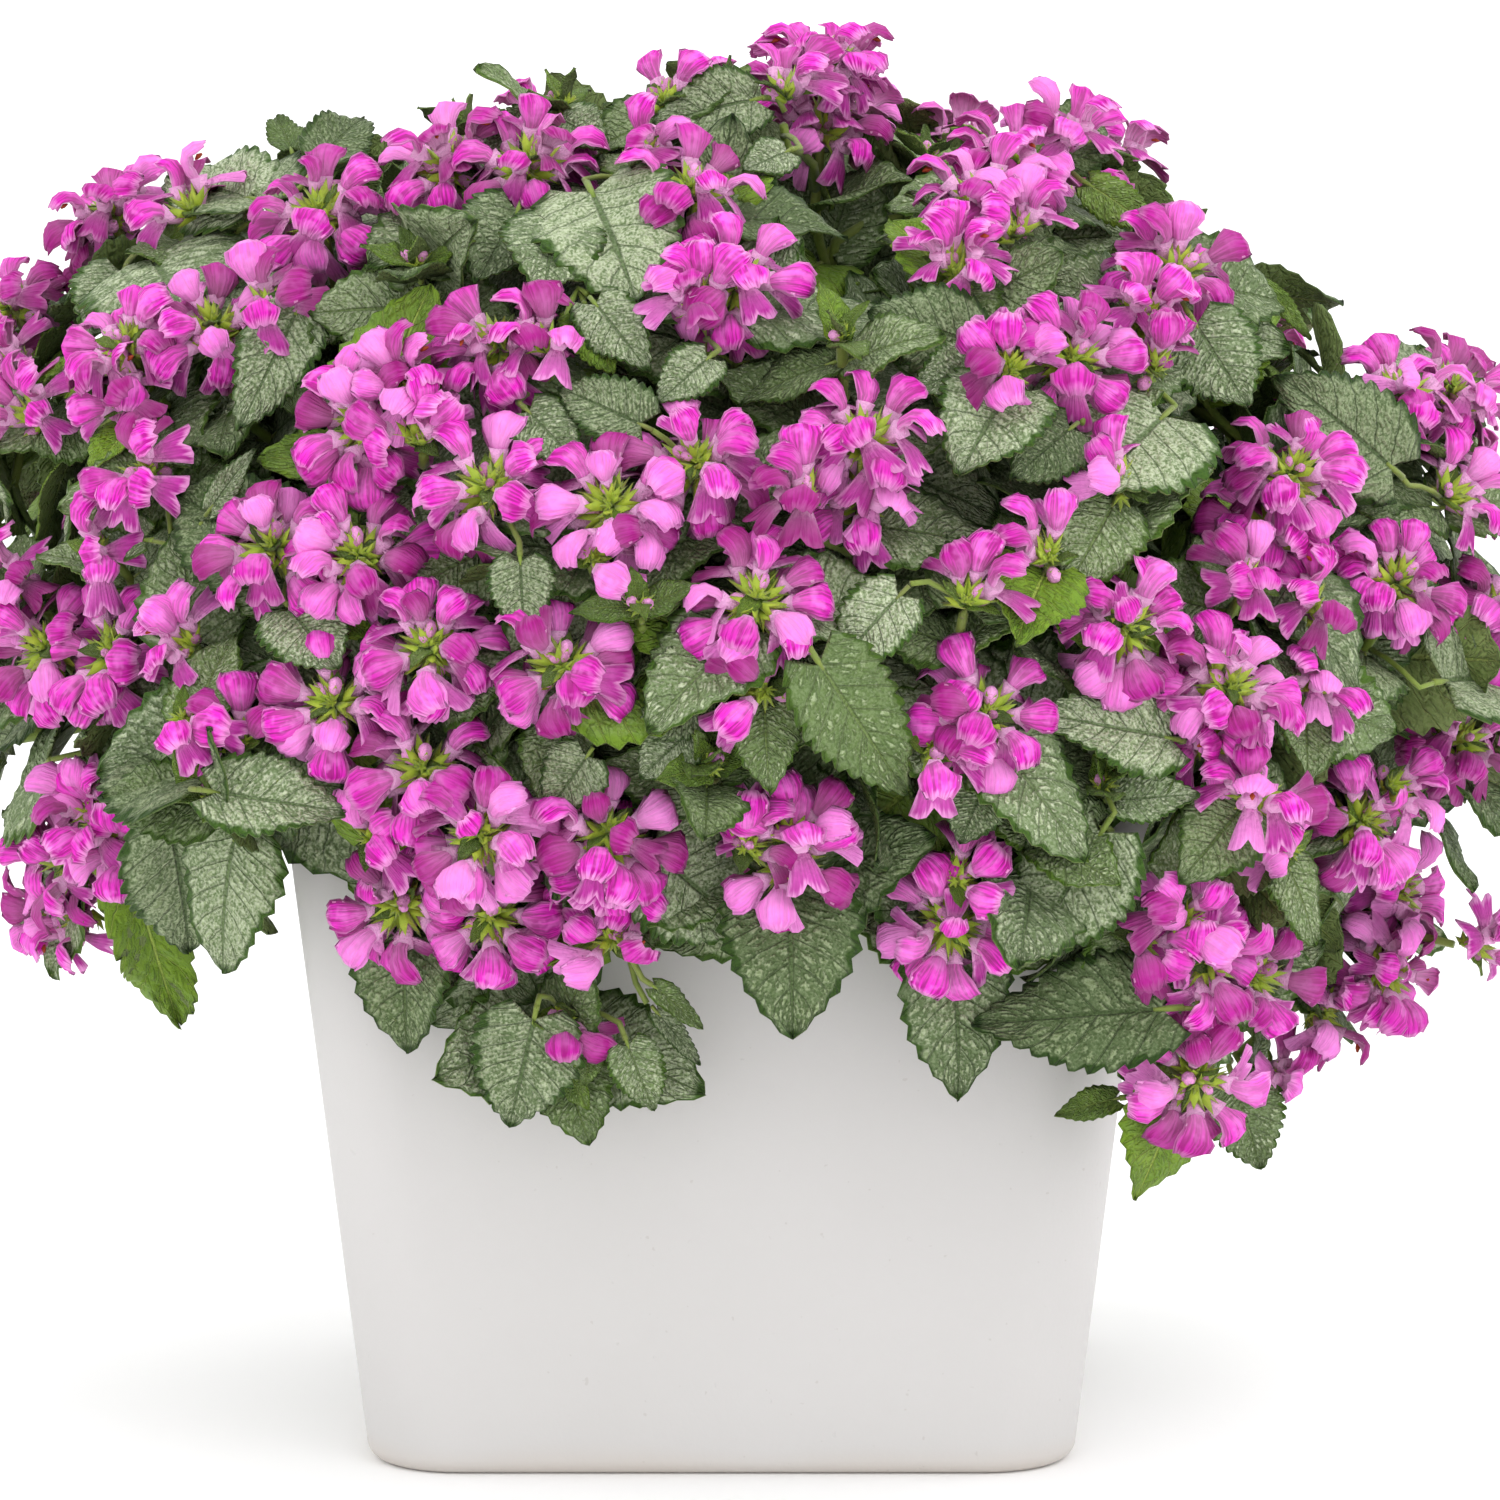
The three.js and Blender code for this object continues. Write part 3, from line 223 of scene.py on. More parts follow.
# Leaves that stand out in the photograph: the pixels of root and tip, how far they stand
# towards the eye, how young, silver and broad they are
SEEN_LEAVES = [
    (126, 850, 180, 1048, 4, 1, 0.2, 0.36), (170, 822, 200, 965, 14, 0, 0.9, 0.78),
    (212, 782, 120, 752, 10, 0, 0.8, 0.95), (203, 790, 346, 815, 16, 0, 0.75, 0.75),
    (1108, 822, 1020, 958, 14, 0, 0.85, 1.15), (1178, 1008, 972, 1020, 12, 0, 0.6, 0.8),
    (1232, 1075, 1262, 1172, 8, 0.1, 0.25, 1), (1120, 1098, 1055, 1112, -6, 0.6, 0.3, 0.6),
    (1105, 828, 1018, 812, 10, 0.1, 0.45, 0.9), (1110, 800, 1200, 795, 8, 0, 0.7, 0.8),
    (536, 1010, 509, 1131, 14, 0, 0.75, 1.1), (645, 842, 753, 940, -5, 0, 0.95, 1.15),
    (652, 985, 706, 1026, 6, 0.3, 0.4, 0.5), (655, 1010, 703, 1066, 6, 0, 0.85, 0.45),
    (626, 1040, 652, 1113, 12, 0.1, 0.7, 0.85), (590, 1048, 586, 1086, 8, 0.4, 0.5, 0.9),
    (1085, 182, 1160, 228, 0, 0.6, 0.4, 0.6), (1262, 282, 1314, 336, 0, 0.7, 0.3, 0.4),
    (588, 185, 640, 288, 6, 0, 1, 1), (762, 98, 655, 118, 4, 0, 0.9, 0.75),
    (318, 162, 368, 102, 0, 0.1, 0.6, 0.6), (292, 152, 277, 108, 0, 0.4, 0.4, 0.6),
    (1192, 318, 1245, 405, 8, 0, 0.7, 1.15), (1400, 475, 1288, 372, 2, 0, 0.95, 0.8),
    (302, 300, 243, 425, 6, 0, 0.85, 0.75), (648, 428, 556, 383, 4, 0, 0.75, 1),
    (592, 300, 643, 360, 2, 0, 0.8, 0.8), (556, 220, 545, 284, 8, 0, 0.6, 1.1),
    (520, 205, 485, 275, 2, 0, 0.6, 0.9), (555, 112, 482, 150, 4, 0, 0.8, 0.7),
    (558, 118, 602, 140, 4, 0, 0.7, 0.8), (790, 150, 745, 170, 0, 0, 0.8, 0.9),
    (712, 355, 660, 400, 4, 0, 0.9, 0.9), (585, 305, 610, 368, -2, 0.9, 0.2, 0.8),
    (735, 205, 722, 140, -8, 0.9, 0.2, 0.9), (985, 345, 868, 312, 4, 0, 0.85, 1),
    (985, 365, 912, 385, 0, 0, 0.5, 0.8), (1012, 385, 955, 470, 4, 0, 0.8, 1.1),
    (1075, 425, 1015, 470, 4, 0, 0.5, 0.9), (1170, 410, 1085, 490, 4, 0, 0.9, 1.1),
    (905, 590, 830, 665, 4, 0, 0.95, 1), (1180, 740, 1050, 715, 4, 0, 0.9, 0.8),
    (985, 782, 960, 845, 8, 0, 0.6, 1.2), (812, 652, 908, 800, 13, 0.2, 0.3, 0.8),
    (520, 556, 523, 634, 6, 0, 0.95, 1.15), (288, 605, 335, 668, 4, 0, 0.8, 1.3),
    (1436, 682, 1536, 670, 27, 0, 0.95, 1), (102, 372, 38, 368, 2, 0.95, 0.2, 0.6),
    (50, 760, 2, 800, 0, 0.1, 0.6, 1), (228, 545, 165, 535, 2, 0, 0.7, 0.8),
    (150, 540, 68, 535, 0, 0, 0.3, 0.5), (208, 512, 252, 450, 2, 0, 0.8, 0.5),
    (150, 256, 190, 305, 2, 0, 0.75, 1.3), (125, 268, 100, 335, 0, 0, 0.7, 1),
    (255, 200, 162, 175, -4, 0, 0.9, 0.8), (265, 205, 215, 170, -2, 0, 0.9, 0.9),
    (525, 408, 578, 462, 4, 0, 0.6, 1), (705, 690, 640, 735, 2, 0, 0.85, 1.1),
    (590, 752, 548, 812, 4, 0, 0.95, 1.1), (690, 730, 640, 780, 4, 0, 0.8, 1.1),
]


# Small sums

def unit(vector):
    return vector / np.linalg.norm(vector)


def across(vector, axis):
    """What is left of a vector once its part along a unit vector is taken away, at length 1."""
    return unit(vector - axis * (vector @ axis))


def chance(a, b, c):
    """A share from 0 to 1 that looks random and is the same each time."""
    wave = math.sin(a * 12.9898 + b * 78.233 + c * 37.719) * 43758.5453
    return wave - math.floor(wave)


def luck(a, b, c):
    """The same from -1 to 1."""
    return 2 * chance(a, b, c) - 1


# Forms

class Form:
    """Points with quads and triangles between them, all of one look. Each point has a place
    on the surface and four tones: its luck, how young or pale it is, how silver or spotted,
    and 1 where it is on the underside or inside."""

    def __init__(self, points, quads, triangles, places, tones, look):
        self.points = np.asarray(points, float)
        self.quads = np.asarray(quads, int).reshape(-1, 4)
        self.triangles = np.asarray(triangles, int).reshape(-1, 3)
        self.places = np.asarray(places, float)
        self.tones = np.broadcast_to(np.asarray(tones, float), (len(self.points), 4))
        self.look = look

    def moved(self, origin, basis, shade):
        """The form with its axes along the rows of a basis, in a shade of its own."""
        tones = np.array(self.tones)
        tones[:, 0] = shade
        return Form(self.points @ basis + origin, self.quads, self.triangles, self.places,
                    tones, self.look)


def in_scene(name, data):
    made = bpy.data.objects.new(name, data)
    bpy.context.scene.collection.objects.link(made)
    return made


class Piece:
    """One piece of the model, gathered form by form. Its slot, the name of its main material, is
    not used. It may stand for nodes of the frame."""

    def __init__(self, name, slot, replaced=()):
        self.name, self.slot, self.replaced = name, slot, replaced
        self.forms = []

    def add(self, *forms):
        self.forms.extend(forms)

    def build(self, materials):
        """Makes the mesh, with one material slot for each look."""
        looks = sorted({form.look for form in self.forms})
        starts = np.cumsum([0] + [len(form.points) for form in self.forms])
        points = np.concatenate([form.points for form in self.forms]) * MM
        places = np.concatenate([form.places for form in self.forms])
        tones = np.concatenate([form.tones for form in self.forms])
        quads = np.concatenate([f.quads + s for f, s in zip(self.forms, starts)])
        triangles = np.concatenate([f.triangles + s for f, s in zip(self.forms, starts)])
        slots = [looks.index(form.look) for form in self.forms]
        of_quads = np.repeat(slots, [len(form.quads) for form in self.forms])
        of_triangles = np.repeat(slots, [len(form.triangles) for form in self.forms])
        corners = np.concatenate([quads.ravel(), triangles.ravel()])
        sizes = np.concatenate([np.full(len(quads), 4), np.full(len(triangles), 3)])
        mesh = bpy.data.meshes.new(self.name)
        mesh.vertices.add(len(points))
        mesh.vertices.foreach_set("co", points.ravel())
        mesh.loops.add(len(corners))
        mesh.loops.foreach_set("vertex_index", corners)
        mesh.polygons.add(len(sizes))
        mesh.polygons.foreach_set("loop_start", np.cumsum(sizes) - sizes)
        mesh.polygons.foreach_set("loop_total", sizes)
        mesh.update(calc_edges=True)
        mesh.polygons.foreach_set("material_index", np.concatenate([of_quads, of_triangles]))
        mesh.polygons.foreach_set("use_smooth", np.ones(len(sizes), bool))
        layer = mesh.uv_layers.new(name="surface")
        layer.data.foreach_set("uv", places[corners].ravel())
        tone = mesh.attributes.new("tone", "FLOAT_COLOR", "POINT")
        tone.data.foreach_set("color", tones.ravel())
        mesh.update()
        for look in looks:
            mesh.materials.append(materials[look])
        made = in_scene(self.name, mesh)
        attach(made, "root")
        if self.replaced:
            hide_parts(*self.replaced)


def grid_quads(grid):
    """Quads over a grid of point numbers, facing row way times column way."""
    return np.stack([grid[:-1, :-1], grid[1:, :-1], grid[1:, 1:], grid[:-1, 1:]], -1).reshape(-1, 4)


def walls(top, bottom):
    """Quads down from a top edge, which runs as its own face does, to a bottom edge."""
    return np.stack([top[1:], top[:-1], bottom[:-1], bottom[1:]], -1)


def shell_faces(rows, columns):
    """A closed thin sheet: the outer grid, the inner one, and the rim between them."""
    outer = np.arange((rows + 1) * (columns + 1)).reshape(rows + 1, columns + 1)
    inner = outer + outer.size
    rims = [(g[:, 0], g[-1, :], g[::-1, -1], g[0, ::-1]) for g in (outer, inner)]
    return np.concatenate([
        grid_quads(outer), grid_quads(inner)[:, ::-1], *(walls(a, b) for a, b in zip(*rims))])


def cap_triangles(top, bottom):
    """Joins an edge of many points to the edge of three points below it."""
    half = (len(top) - 1) // 2
    found = []
    for side in range(2):
        run = top[side * half:(side + 1) * half + 1]
        foot = bottom[side]
        found += [(run[k + 1], run[k], foot) for k in range(half)]
        found.append((run[-1], foot, bottom[side + 1]))
    return found


def blade_faces(rows, columns):
    """A closed blade: a fine grid above, three points a row below, and the rim."""
    top = np.arange((rows + 1) * (columns + 1)).reshape(rows + 1, columns + 1)
    low = top.size + np.arange((rows + 1) * 3).reshape(rows + 1, 3)
    quads = np.concatenate([
        grid_quads(top), grid_quads(low)[:, ::-1],
        walls(top[:, 0], low[:, 0]), walls(top[::-1, -1], low[::-1, -1])])
    ends = cap_triangles(top[-1], low[-1]) + cap_triangles(top[0, ::-1], low[0, ::-1])
    return quads, np.array(ends)


def capped(rings, middles, places, tones, look):
    """A closed skin over rings of points, with a fan to a middle point at each end."""
    count, sides = len(rings), len(rings[0])
    loop = np.pad(np.arange(count * sides).reshape(count, sides), ((0, 0), (0, 1)), "wrap")
    first, last = count * sides, count * sides + 1
    ends = [(loop[0, k + 1], loop[0, k], first) for k in range(sides)]
    ends += [(loop[-1, k], loop[-1, k + 1], last) for k in range(sides)]
    points = np.concatenate([*rings, middles])
    return Form(points, grid_quads(loop)[:, ::-1], ends, places, tones, look)


def way_along(route):
    """How far along a route each of its points is."""
    return np.concatenate([[0], np.cumsum(np.linalg.norm(np.diff(route, axis=0), axis=1))])


def tube(route, radii, sides, look, tones, side, profile=(1,)):
    """A closed tube along points. The profile is repeated round it."""
    route = np.asarray(route, float)
    ahead = np.gradient(route, axis=0)
    turns = np.arange(sides) * 2 * math.pi / sides
    waist = np.resize(profile, sides)
    rings = []
    for place, way, radius in zip(route, ahead, radii):
        way = unit(way)
        side = across(side, way)
        up = np.cross(way, side)
        ring = np.outer(np.cos(turns) * waist, side) + np.outer(np.sin(turns) * waist, up)
        rings.append(place + radius * ring)
    length = way_along(route)
    places = np.stack([np.tile(np.arange(sides) / sides, len(rings)),
                       np.repeat(length, sides)], 1)
    places = np.concatenate([places, [[0, 0], [0, length[-1]]]])
    return capped(rings, route[[0, -1]], places, tones, look)


# Places on the mound

def planter_half(z):
    return BASE_HALF + (RIM_HALF - BASE_HALF) / PLANTER_HEIGHT * z


def level_of(z):
    return (z - MOUND_Z) / (MOUND_ABOVE if z > MOUND_Z else MOUND_BELOW)


def mound_depth(x, z):
    left = max(0.0, 1 - (x / MOUND_ACROSS) ** 2 - level_of(z) ** 2)
    return MOUND_DEEP * left ** MOUND_TAPER


def seen_place(column, row):
    """The place on the mound's front that a pixel of the photograph shows."""
    ray = unit(LOOK_AT - EYE) + EYE_ABOVE * (PHOTO_MIDDLE - row) / PIXELS_PER_RADIAN
    ray = ray + X * (column - PHOTO_MIDDLE) / PIXELS_PER_RADIAN
    depth = MOUND_DEEP / 2
    for _ in range(EYE_ROUNDS):
        place = EYE + ray * (-depth - EYE[1]) / ray[1]
        depth = mound_depth(place[0], place[2])
        wall = planter_half(min(place[2], PLANTER_HEIGHT))
        if place[2] < PLANTER_HEIGHT + OVERHANG and abs(place[0]) < wall + OVERHANG:
            depth = max(depth, wall + OVERHANG)
    return place


def round_place(turn, z):
    """The place on the mound at a turn from the front and a height."""
    narrow = (1 - level_of(z) ** 2) ** MOUND_CROWN
    angle = math.radians(turn)
    return np.array([
        MOUND_ACROSS * narrow * math.sin(angle), -MOUND_DEEP * narrow * math.cos(angle), z])


def depth_share(place):
    """How near a place is to the mound's surface: 0 in its middle, 1 on it."""
    return math.hypot(place[0] / MOUND_ACROSS, place[1] / MOUND_DEEP, level_of(place[2]))


def outward(place):
    return unit(np.array([place[0] / MOUND_ACROSS ** 2, place[1] / MOUND_DEEP ** 2, 0]))


def raised(way, rise):
    """A level way, raised by an angle in degrees."""
    return way * math.cos(math.radians(rise)) + UP * math.sin(math.radians(rise))


def around(axis):
    side = across(X if abs(axis[0]) < 0.8 else UP, axis)
    return side, np.cross(axis, side)


def turned(axis, angle):
    """A way at right angles to an axis, at an angle round it."""
    side, front = around(axis)
    return side * math.cos(angle) + front * math.sin(angle)


def on_photo(points):
    """The pixels of the photograph that places are seen at, and how far away they are."""
    rays = points - EYE
    far = rays @ unit(LOOK_AT - EYE)
    column = PHOTO_MIDDLE + rays @ X / far * PIXELS_PER_RADIAN
    row = PHOTO_MIDDLE - rays @ EYE_ABOVE / far * PIXELS_PER_RADIAN
    return column, row, far


def edge_row(edge, column):
    """The row at which an edge of the plant crosses a column of the photograph."""
    return np.interp(column, *zip(*edge))


# Stems

class Shoot:
    """A stem: where it ends, the way it points there, and where its whorls are. The frame's
    own stems are leafy or have one whorl or two, and a joined one grows into the last."""

    def __init__(self, index, plant, place, axis, kind, behind):
        self.index, self.plant, self.place, self.axis = index, plant, place, axis
        self.kind, self.behind = kind, behind
        count = {"leafy": 0, "two": 2}.get(kind, 1)
        self.whorls = [place - axis * w * WHORL_APART for w in range(count)]
        self.drop = 0 if count == 0 else (count - 1) * WHORL_APART + CORE_HALF + HEAD_GAP
        self.leaves = []
        self.added = False


def frame_shoots():
    """The stems that the frame has."""
    found = []
    for plant, (_, _, seen, behind) in enumerate(PLANTS):
        for entries, hidden in ((seen, False), (behind, True)):
            for first, second, rise, kind in entries:
                place = (round_place if hidden else seen_place)(first, second)
                way = outward(place)
                if not hidden:
                    way = unit(way + FRONT * LEAN_TO_EYE)
                axis = raised(way, rise)
                if kind == "joined":
                    partner = found[-1]
                    gap = across(place - partner.place, partner.axis)
                    place = partner.place + gap * JOINED_APART
                    axis = unit(axis + partner.axis)
                found.append(Shoot(len(found), plant, place, axis, kind, hidden))
    return found


def crown_frame(plant):
    """A crown's way out, its long way and its middle on the soil."""
    foot, facing = PLANTS[plant][:2]
    angle = math.radians(facing)
    out = np.array([math.cos(angle), math.sin(angle), 0])
    return out, np.array([-out[1], out[0], 0]), np.array([*foot, SOIL_TOP], float)


def seat_stems(plant, stems):
    """Gives each stem a cell of its plant's crown, and returns how many columns it has."""
    out, along, foot = crown_frame(plant)
    reach = {s.index: s.place - foot for s in stems}
    order = sorted(stems, key=lambda s: -(reach[s.index] @ out - HIGH_INSIDE * reach[s.index][2]))
    columns = math.ceil(len(order) / 2)
    top = foot + UP * CROWN_PROUD
    for r, row in enumerate([order[:columns], order[columns:]]):
        row.sort(key=lambda s: reach[s.index] @ along)
        for c, stem in enumerate(row):
            stem.cell = [
                top + out * (1 - r - dr) * CROWN_CELL + along * (c + dc - columns / 2) * CROWN_CELL
                for dr, dc in ((1, 0), (0, 0), (0, 1), (1, 1))]
    return columns


def smooth_route(points):
    """A smooth curve through points, as places a few millimetres apart."""
    parts = []
    for k in range(len(points) - 1):
        a, b = points[k], points[k + 1]
        before = points[k - 1] if k else 2 * a - b
        after = points[k + 2] if k + 2 < len(points) else 2 * b - a
        steps = max(2, math.ceil(np.linalg.norm(b - a) / ROUTE_STEP))
        t = (np.arange(steps) / steps)[:, None]
        parts.append(a * (2 * t ** 3 - 3 * t * t + 1) + b * (3 * t * t - 2 * t ** 3)
                     + (b - before) / 2 * (t ** 3 - 2 * t * t + t)
                     + (after - a) / 2 * (t ** 3 - t * t))
    return np.concatenate([*parts, points[-1][None]])


def from_middle(place):
    return max(abs(place[0]), abs(place[1]))


def middle_of_stem(start, target):
    """Where a stem bends over: in an arch, or over the rim if it ends low beyond it."""
    if from_middle(target) <= RIM_HALF - 2 * WALL or target[2] >= OVER_RIM + RIM_REACH:
        return (start + target) / 2 + UP * STEM_ARCH * np.linalg.norm(target - start)
    near, far = start, target
    for _ in range(WALL_ROUNDS):
        half = (near + far) / 2
        if from_middle(half) > RIM_HALF - WALL:
            far = half
        else:
            near = half
    return np.array([near[0], near[1], OVER_RIM + RIM_SHARE * max(0, target[2] - OVER_RIM)])


def stem_points(start, target, axis, bend):
    rise = start + UP * STEM_RISE + bend * EARLY_BEND
    middle = middle_of_stem(start, target) + bend
    straight = min(END_STRAIGHT, STRAIGHT_SHARE * np.linalg.norm(target - middle))
    return [start, rise, middle, target - axis * straight, target]


def bends():
    """What a stem is bent aside by, in the order in which the frame tries it."""
    yield np.zeros(3)
    for ring in range(1, BEND_RINGS + 1):
        for k in range(BEND_TURNS):
            angle = k * 2 * math.pi / BEND_TURNS + ring
            aside = np.array([math.cos(angle), math.sin(angle), BEND_RISE * (k % 2)])
            yield aside * BEND_STEP * ring


def frame_pairs(stem):
    """The leaf pairs that the frame gives a stem: how far below its end, and their length."""
    if stem.behind:
        return LEAF_PAIRS
    if stem.kind == "leafy":
        return TIP_PAIRS
    return LEAF_PAIRS if stem.index % TWO_PAIRS_EVERY == 0 else LEAF_PAIRS[:1]


def ring_at(route, way, at, side):
    """A place on a route, the way ahead there, and the side carried along to it."""
    i = max(1, int(np.searchsorted(way, at)))
    share = (at - way[i - 1]) / (way[i] - way[i - 1])
    place = route[i - 1] + (route[i] - route[i - 1]) * share
    ahead = unit(route[min(i + 1, len(route) - 1)] - route[i - 1])
    return place, ahead, across(side, ahead)


def stem_rings(stem, route):
    """The frame's own rings of corners along a stem, with its leaf pairs."""
    way = way_along(route)
    whole = way[-1]
    stops = [(FIRST_RING, None, 0)]
    pairs = frame_pairs(stem)
    for order in reversed(range(len(pairs))):
        start, top = stops[-1][0], whole - pairs[order][0]
        if top - LEAF_ROOT < start + SHORTEST_STEP:
            continue
        extra = int((top - start) // LONGEST_STEP)
        stops += [(start + (top - start) * i / (extra + 1), None, 0) for i in range(1, extra + 1)]
        stops += [(top - LEAF_ROOT, pairs[order], order), (top, None, 0)]
    side = unit(stem.cell[1] - stem.cell[0])
    rings = []
    for at, pair, order in stops:
        place, ahead, side = ring_at(route, way, at, side)
        up = np.cross(ahead, side)
        half = STEM_HALF_LOW + (STEM_HALF_TOP - STEM_HALF_LOW) * at / whole
        corners = [place + side * u * half + up * v * half
                   for u, v in ((-1, -1), (1, -1), (1, 1), (-1, 1))]
        rings.append((corners, ahead, (-up, side, up, -side), pair, order))
    return rings


class Leaf:
    """Where a blade leaves its stem, the way it points and faces, and its size."""

    def __init__(self, root, along, flat, length, twist):
        self.root, self.along, self.flat = root, along, flat
        self.length, self.twist = length, twist

    def at(self, way, half, lift):
        """The place at shares of the length along and across it, and above it."""
        curl = LEAF_CURL * way * way * (1 + self.twist)
        wide = np.cross(self.flat, self.along)
        return (self.root + self.along * way * self.length + wide * half * self.length
                + self.flat * (lift - curl * self.length))


def leaf_tries(index, key, root, ahead, facing, length):
    """A blade in each of the ways that it may stand on its stem, the best one first."""
    sunward = unit(outward(root) * LEAF_OUT + UP * LEAF_UP)
    for shrink in LEAF_SHRINKS:
        for lift in LEAF_LIFTS:
            for sway in LEAF_SWAYS:
                angle = math.radians(lift + LEAF_LOOSE * luck(index, key, 1))
                along = facing * math.cos(angle) + ahead * math.sin(angle)
                flat = across(across(ahead, along) + across(sunward, along), along)
                along = unit(along + np.cross(along, flat) * math.tan(math.radians(sway)))
                size = length * shrink * (1 + LENGTH_VARIES * luck(index, key, 2))
                twist = TWIST_VARIES * luck(index, key, 3)
                yield Leaf(root, along, across(flat, along), size, twist)


def frame_points(name):
    """The corners of a node of the frame, to look places up in."""
    vertices = frame["nodes"][name].data.vertices
    tree = KDTree(len(vertices))
    for vertex in vertices:
        tree.insert(vertex.co / MM, vertex.index)
    tree.balance()
    return tree


def is_there(tree, places, near=SAME_PLACE):
    """If each of the places is at a corner of the frame."""
    return all(tree.find(Vector(place))[2] < near for place in places)


def find_stems(stems, plant):
    """Finds the route and the leaves that each stem of a plant has in the frame."""
    tree = frame_points(f"plant_{plant + 1}")
    for stem in stems:
        start = (stem.cell[0] + stem.cell[2]) / 2
        target = stem.place - stem.axis * stem.drop
        near = NEAR_PLACE
        for bend in bends():
            route = smooth_route(stem_points(start, target, stem.axis, bend))
            rings = stem_rings(stem, route)
            if is_there(tree, [corner for ring in rings for corner in ring[0]]):
                near = SAME_PLACE
                break
        stem.route = route
        stem.side = unit(stem.cell[1] - stem.cell[0])
        for k, (corners, ahead, facings, pair, order) in enumerate(rings):
            if not pair:
                continue
            above = rings[k + 1][0]
            for s in (order % 2, order % 2 + 2):
                n = (s + 1) % 4
                root = (above[s] + corners[n] + above[n] + corners[s]) / 4
                key = 4 * order + s
                for leaf in leaf_tries(stem.index, key, root, ahead, facings[s], pair[1]):
                    if is_there(tree, [leaf.at(1, 0, LEAF_THICK / 2)], near):
                        leaf.below = pair[0]
                        stem.leaves.append(leaf)
                        break


shoots = frame_shoots()
columns_of = {}
for plant in range(len(PLANTS)):
    stems = [s for s in shoots if s.plant == plant]
    columns_of[plant] = seat_stems(plant, stems)
    find_stems(stems, plant)

# Leaves

SHOWN, FINE, HIDDEN, SMALL = (33, 8), (16, 6), (12, 4), (7, 4)
BLADE_ALONG = (0, 0.06, 0.15, 0.3, 0.45, 0.6, 0.75, 0.88, 0.96, 1)
BLADE_HALF = (0.2, 0.3, 0.37, 0.395, 0.37, 0.305, 0.215, 0.12, 0.048, 0.01)
BLADE_START, LOBE, TOOTH, TOOTH_ALONG, VEINS, PUFF = 0.08, 0.12, 0.07, 0.012, 6, 0.022
BLADE_WAVE, BLADE_FOLD, FOLD_VARIES, FOLD_ROUND = 0.045, 0.26, 0.24, 0.04
BLADE_ARCH, BLADE_ROLL, BLADE_BEND, WIDTH_VARIES = 0.3, 0.25, 0.06, 0.12
BLADE_THICK, STALK_END = 0.55, 0.12
TEETH, FINE_TEETH = (-0.5, 1.0), (-0.9, 0.6, 0.9)
faces_of = {size: blade_faces(*size) for size in (SHOWN, FINE, HIDDEN, SMALL)}


def blade(leaf, size, young, silver, seed, width=1.0):
    """A heart-shaped toothed blade, puffed up between its veins, folded and curled."""
    rows, columns = size
    s = np.linspace(0, 1, rows + 1)[:, None]
    u = np.linspace(-1, 1, columns + 1)[None, :]
    away = np.abs(u)
    teeth = FINE_TEETH if size == SHOWN else TEETH
    tooth = np.resize(teeth, rows + 1)[:, None] * (away == 1)
    half = np.interp(s, BLADE_ALONG, BLADE_HALF) * (1 + WIDTH_VARIES * luck(seed, 5, 1)) * width
    lobe = LOBE * away ** 1.6 * (1 - s) ** 4
    way = BLADE_START + (1 - BLADE_START) * s - lobe + TOOTH_ALONG * tooth
    wide = half * u * (1 + TOOTH * tooth)
    puff = PUFF * (1 - np.cos(2 * math.pi * (s * VEINS - 1.5 * away))) * away * (1 - away) * 2.4
    wave = BLADE_WAVE * away ** 2 * np.sin(9 * s + 6 * chance(seed, 5, 2) + u)
    fold = BLADE_FOLD + FOLD_VARIES * luck(seed, 5, 3)
    curl = LEAF_CURL * way * way * (1 + leaf.twist)
    rise = fold * (np.sqrt(wide ** 2 + FOLD_ROUND ** 2) - FOLD_ROUND) - BLADE_ARCH * wide ** 2
    rise = rise - curl + puff + wave
    roll = BLADE_ROLL * luck(seed, 5, 4) * s
    side = wide * np.cos(roll) + BLADE_BEND * luck(seed, 5, 5) * way ** 2
    rise = rise + wide * np.sin(roll)
    shape = np.stack([way + 0 * u, side, rise], -1) * leaf.length
    basis = np.array([leaf.along, np.cross(leaf.flat, leaf.along), leaf.flat])
    below = [0, columns // 2, columns]
    low = shape[:, below] - [0, 0, BLADE_THICK]
    local = np.concatenate([shape.reshape(-1, 3), low.reshape(-1, 3)])
    places = np.stack([0.5 + 0.5 * u + 0 * s, s + 0 * u], -1)
    places = np.concatenate([places.reshape(-1, 2), places[:, below].reshape(-1, 2)])
    tones = np.tile([chance(seed, 5, 6), young, silver, 0.0], (len(local), 1))
    tones[shape[..., 0].size:, 3] = 1
    quads, triangles = faces_of[size]
    form = Form(local @ basis + leaf.root, quads, triangles, places, tones, "leaf")
    kept_inside([form])
    end = leaf.root + leaf.along * leaf.length * STALK_END - leaf.flat * BLADE_THICK / 2
    thick = 0.35 + leaf.length / 75
    stalk = tube([leaf.root - leaf.along * 1.5, (leaf.root + end) / 2, end],
                 [thick, thick * 0.9, thick * 0.6], 5, "stem", (chance(seed, 5, 7), young, 0, 0),
                 leaf.flat)
    return [form, stalk]


# Flowers. Their forms lie with +X out of the head, +Y along its axis and +Z to the side.

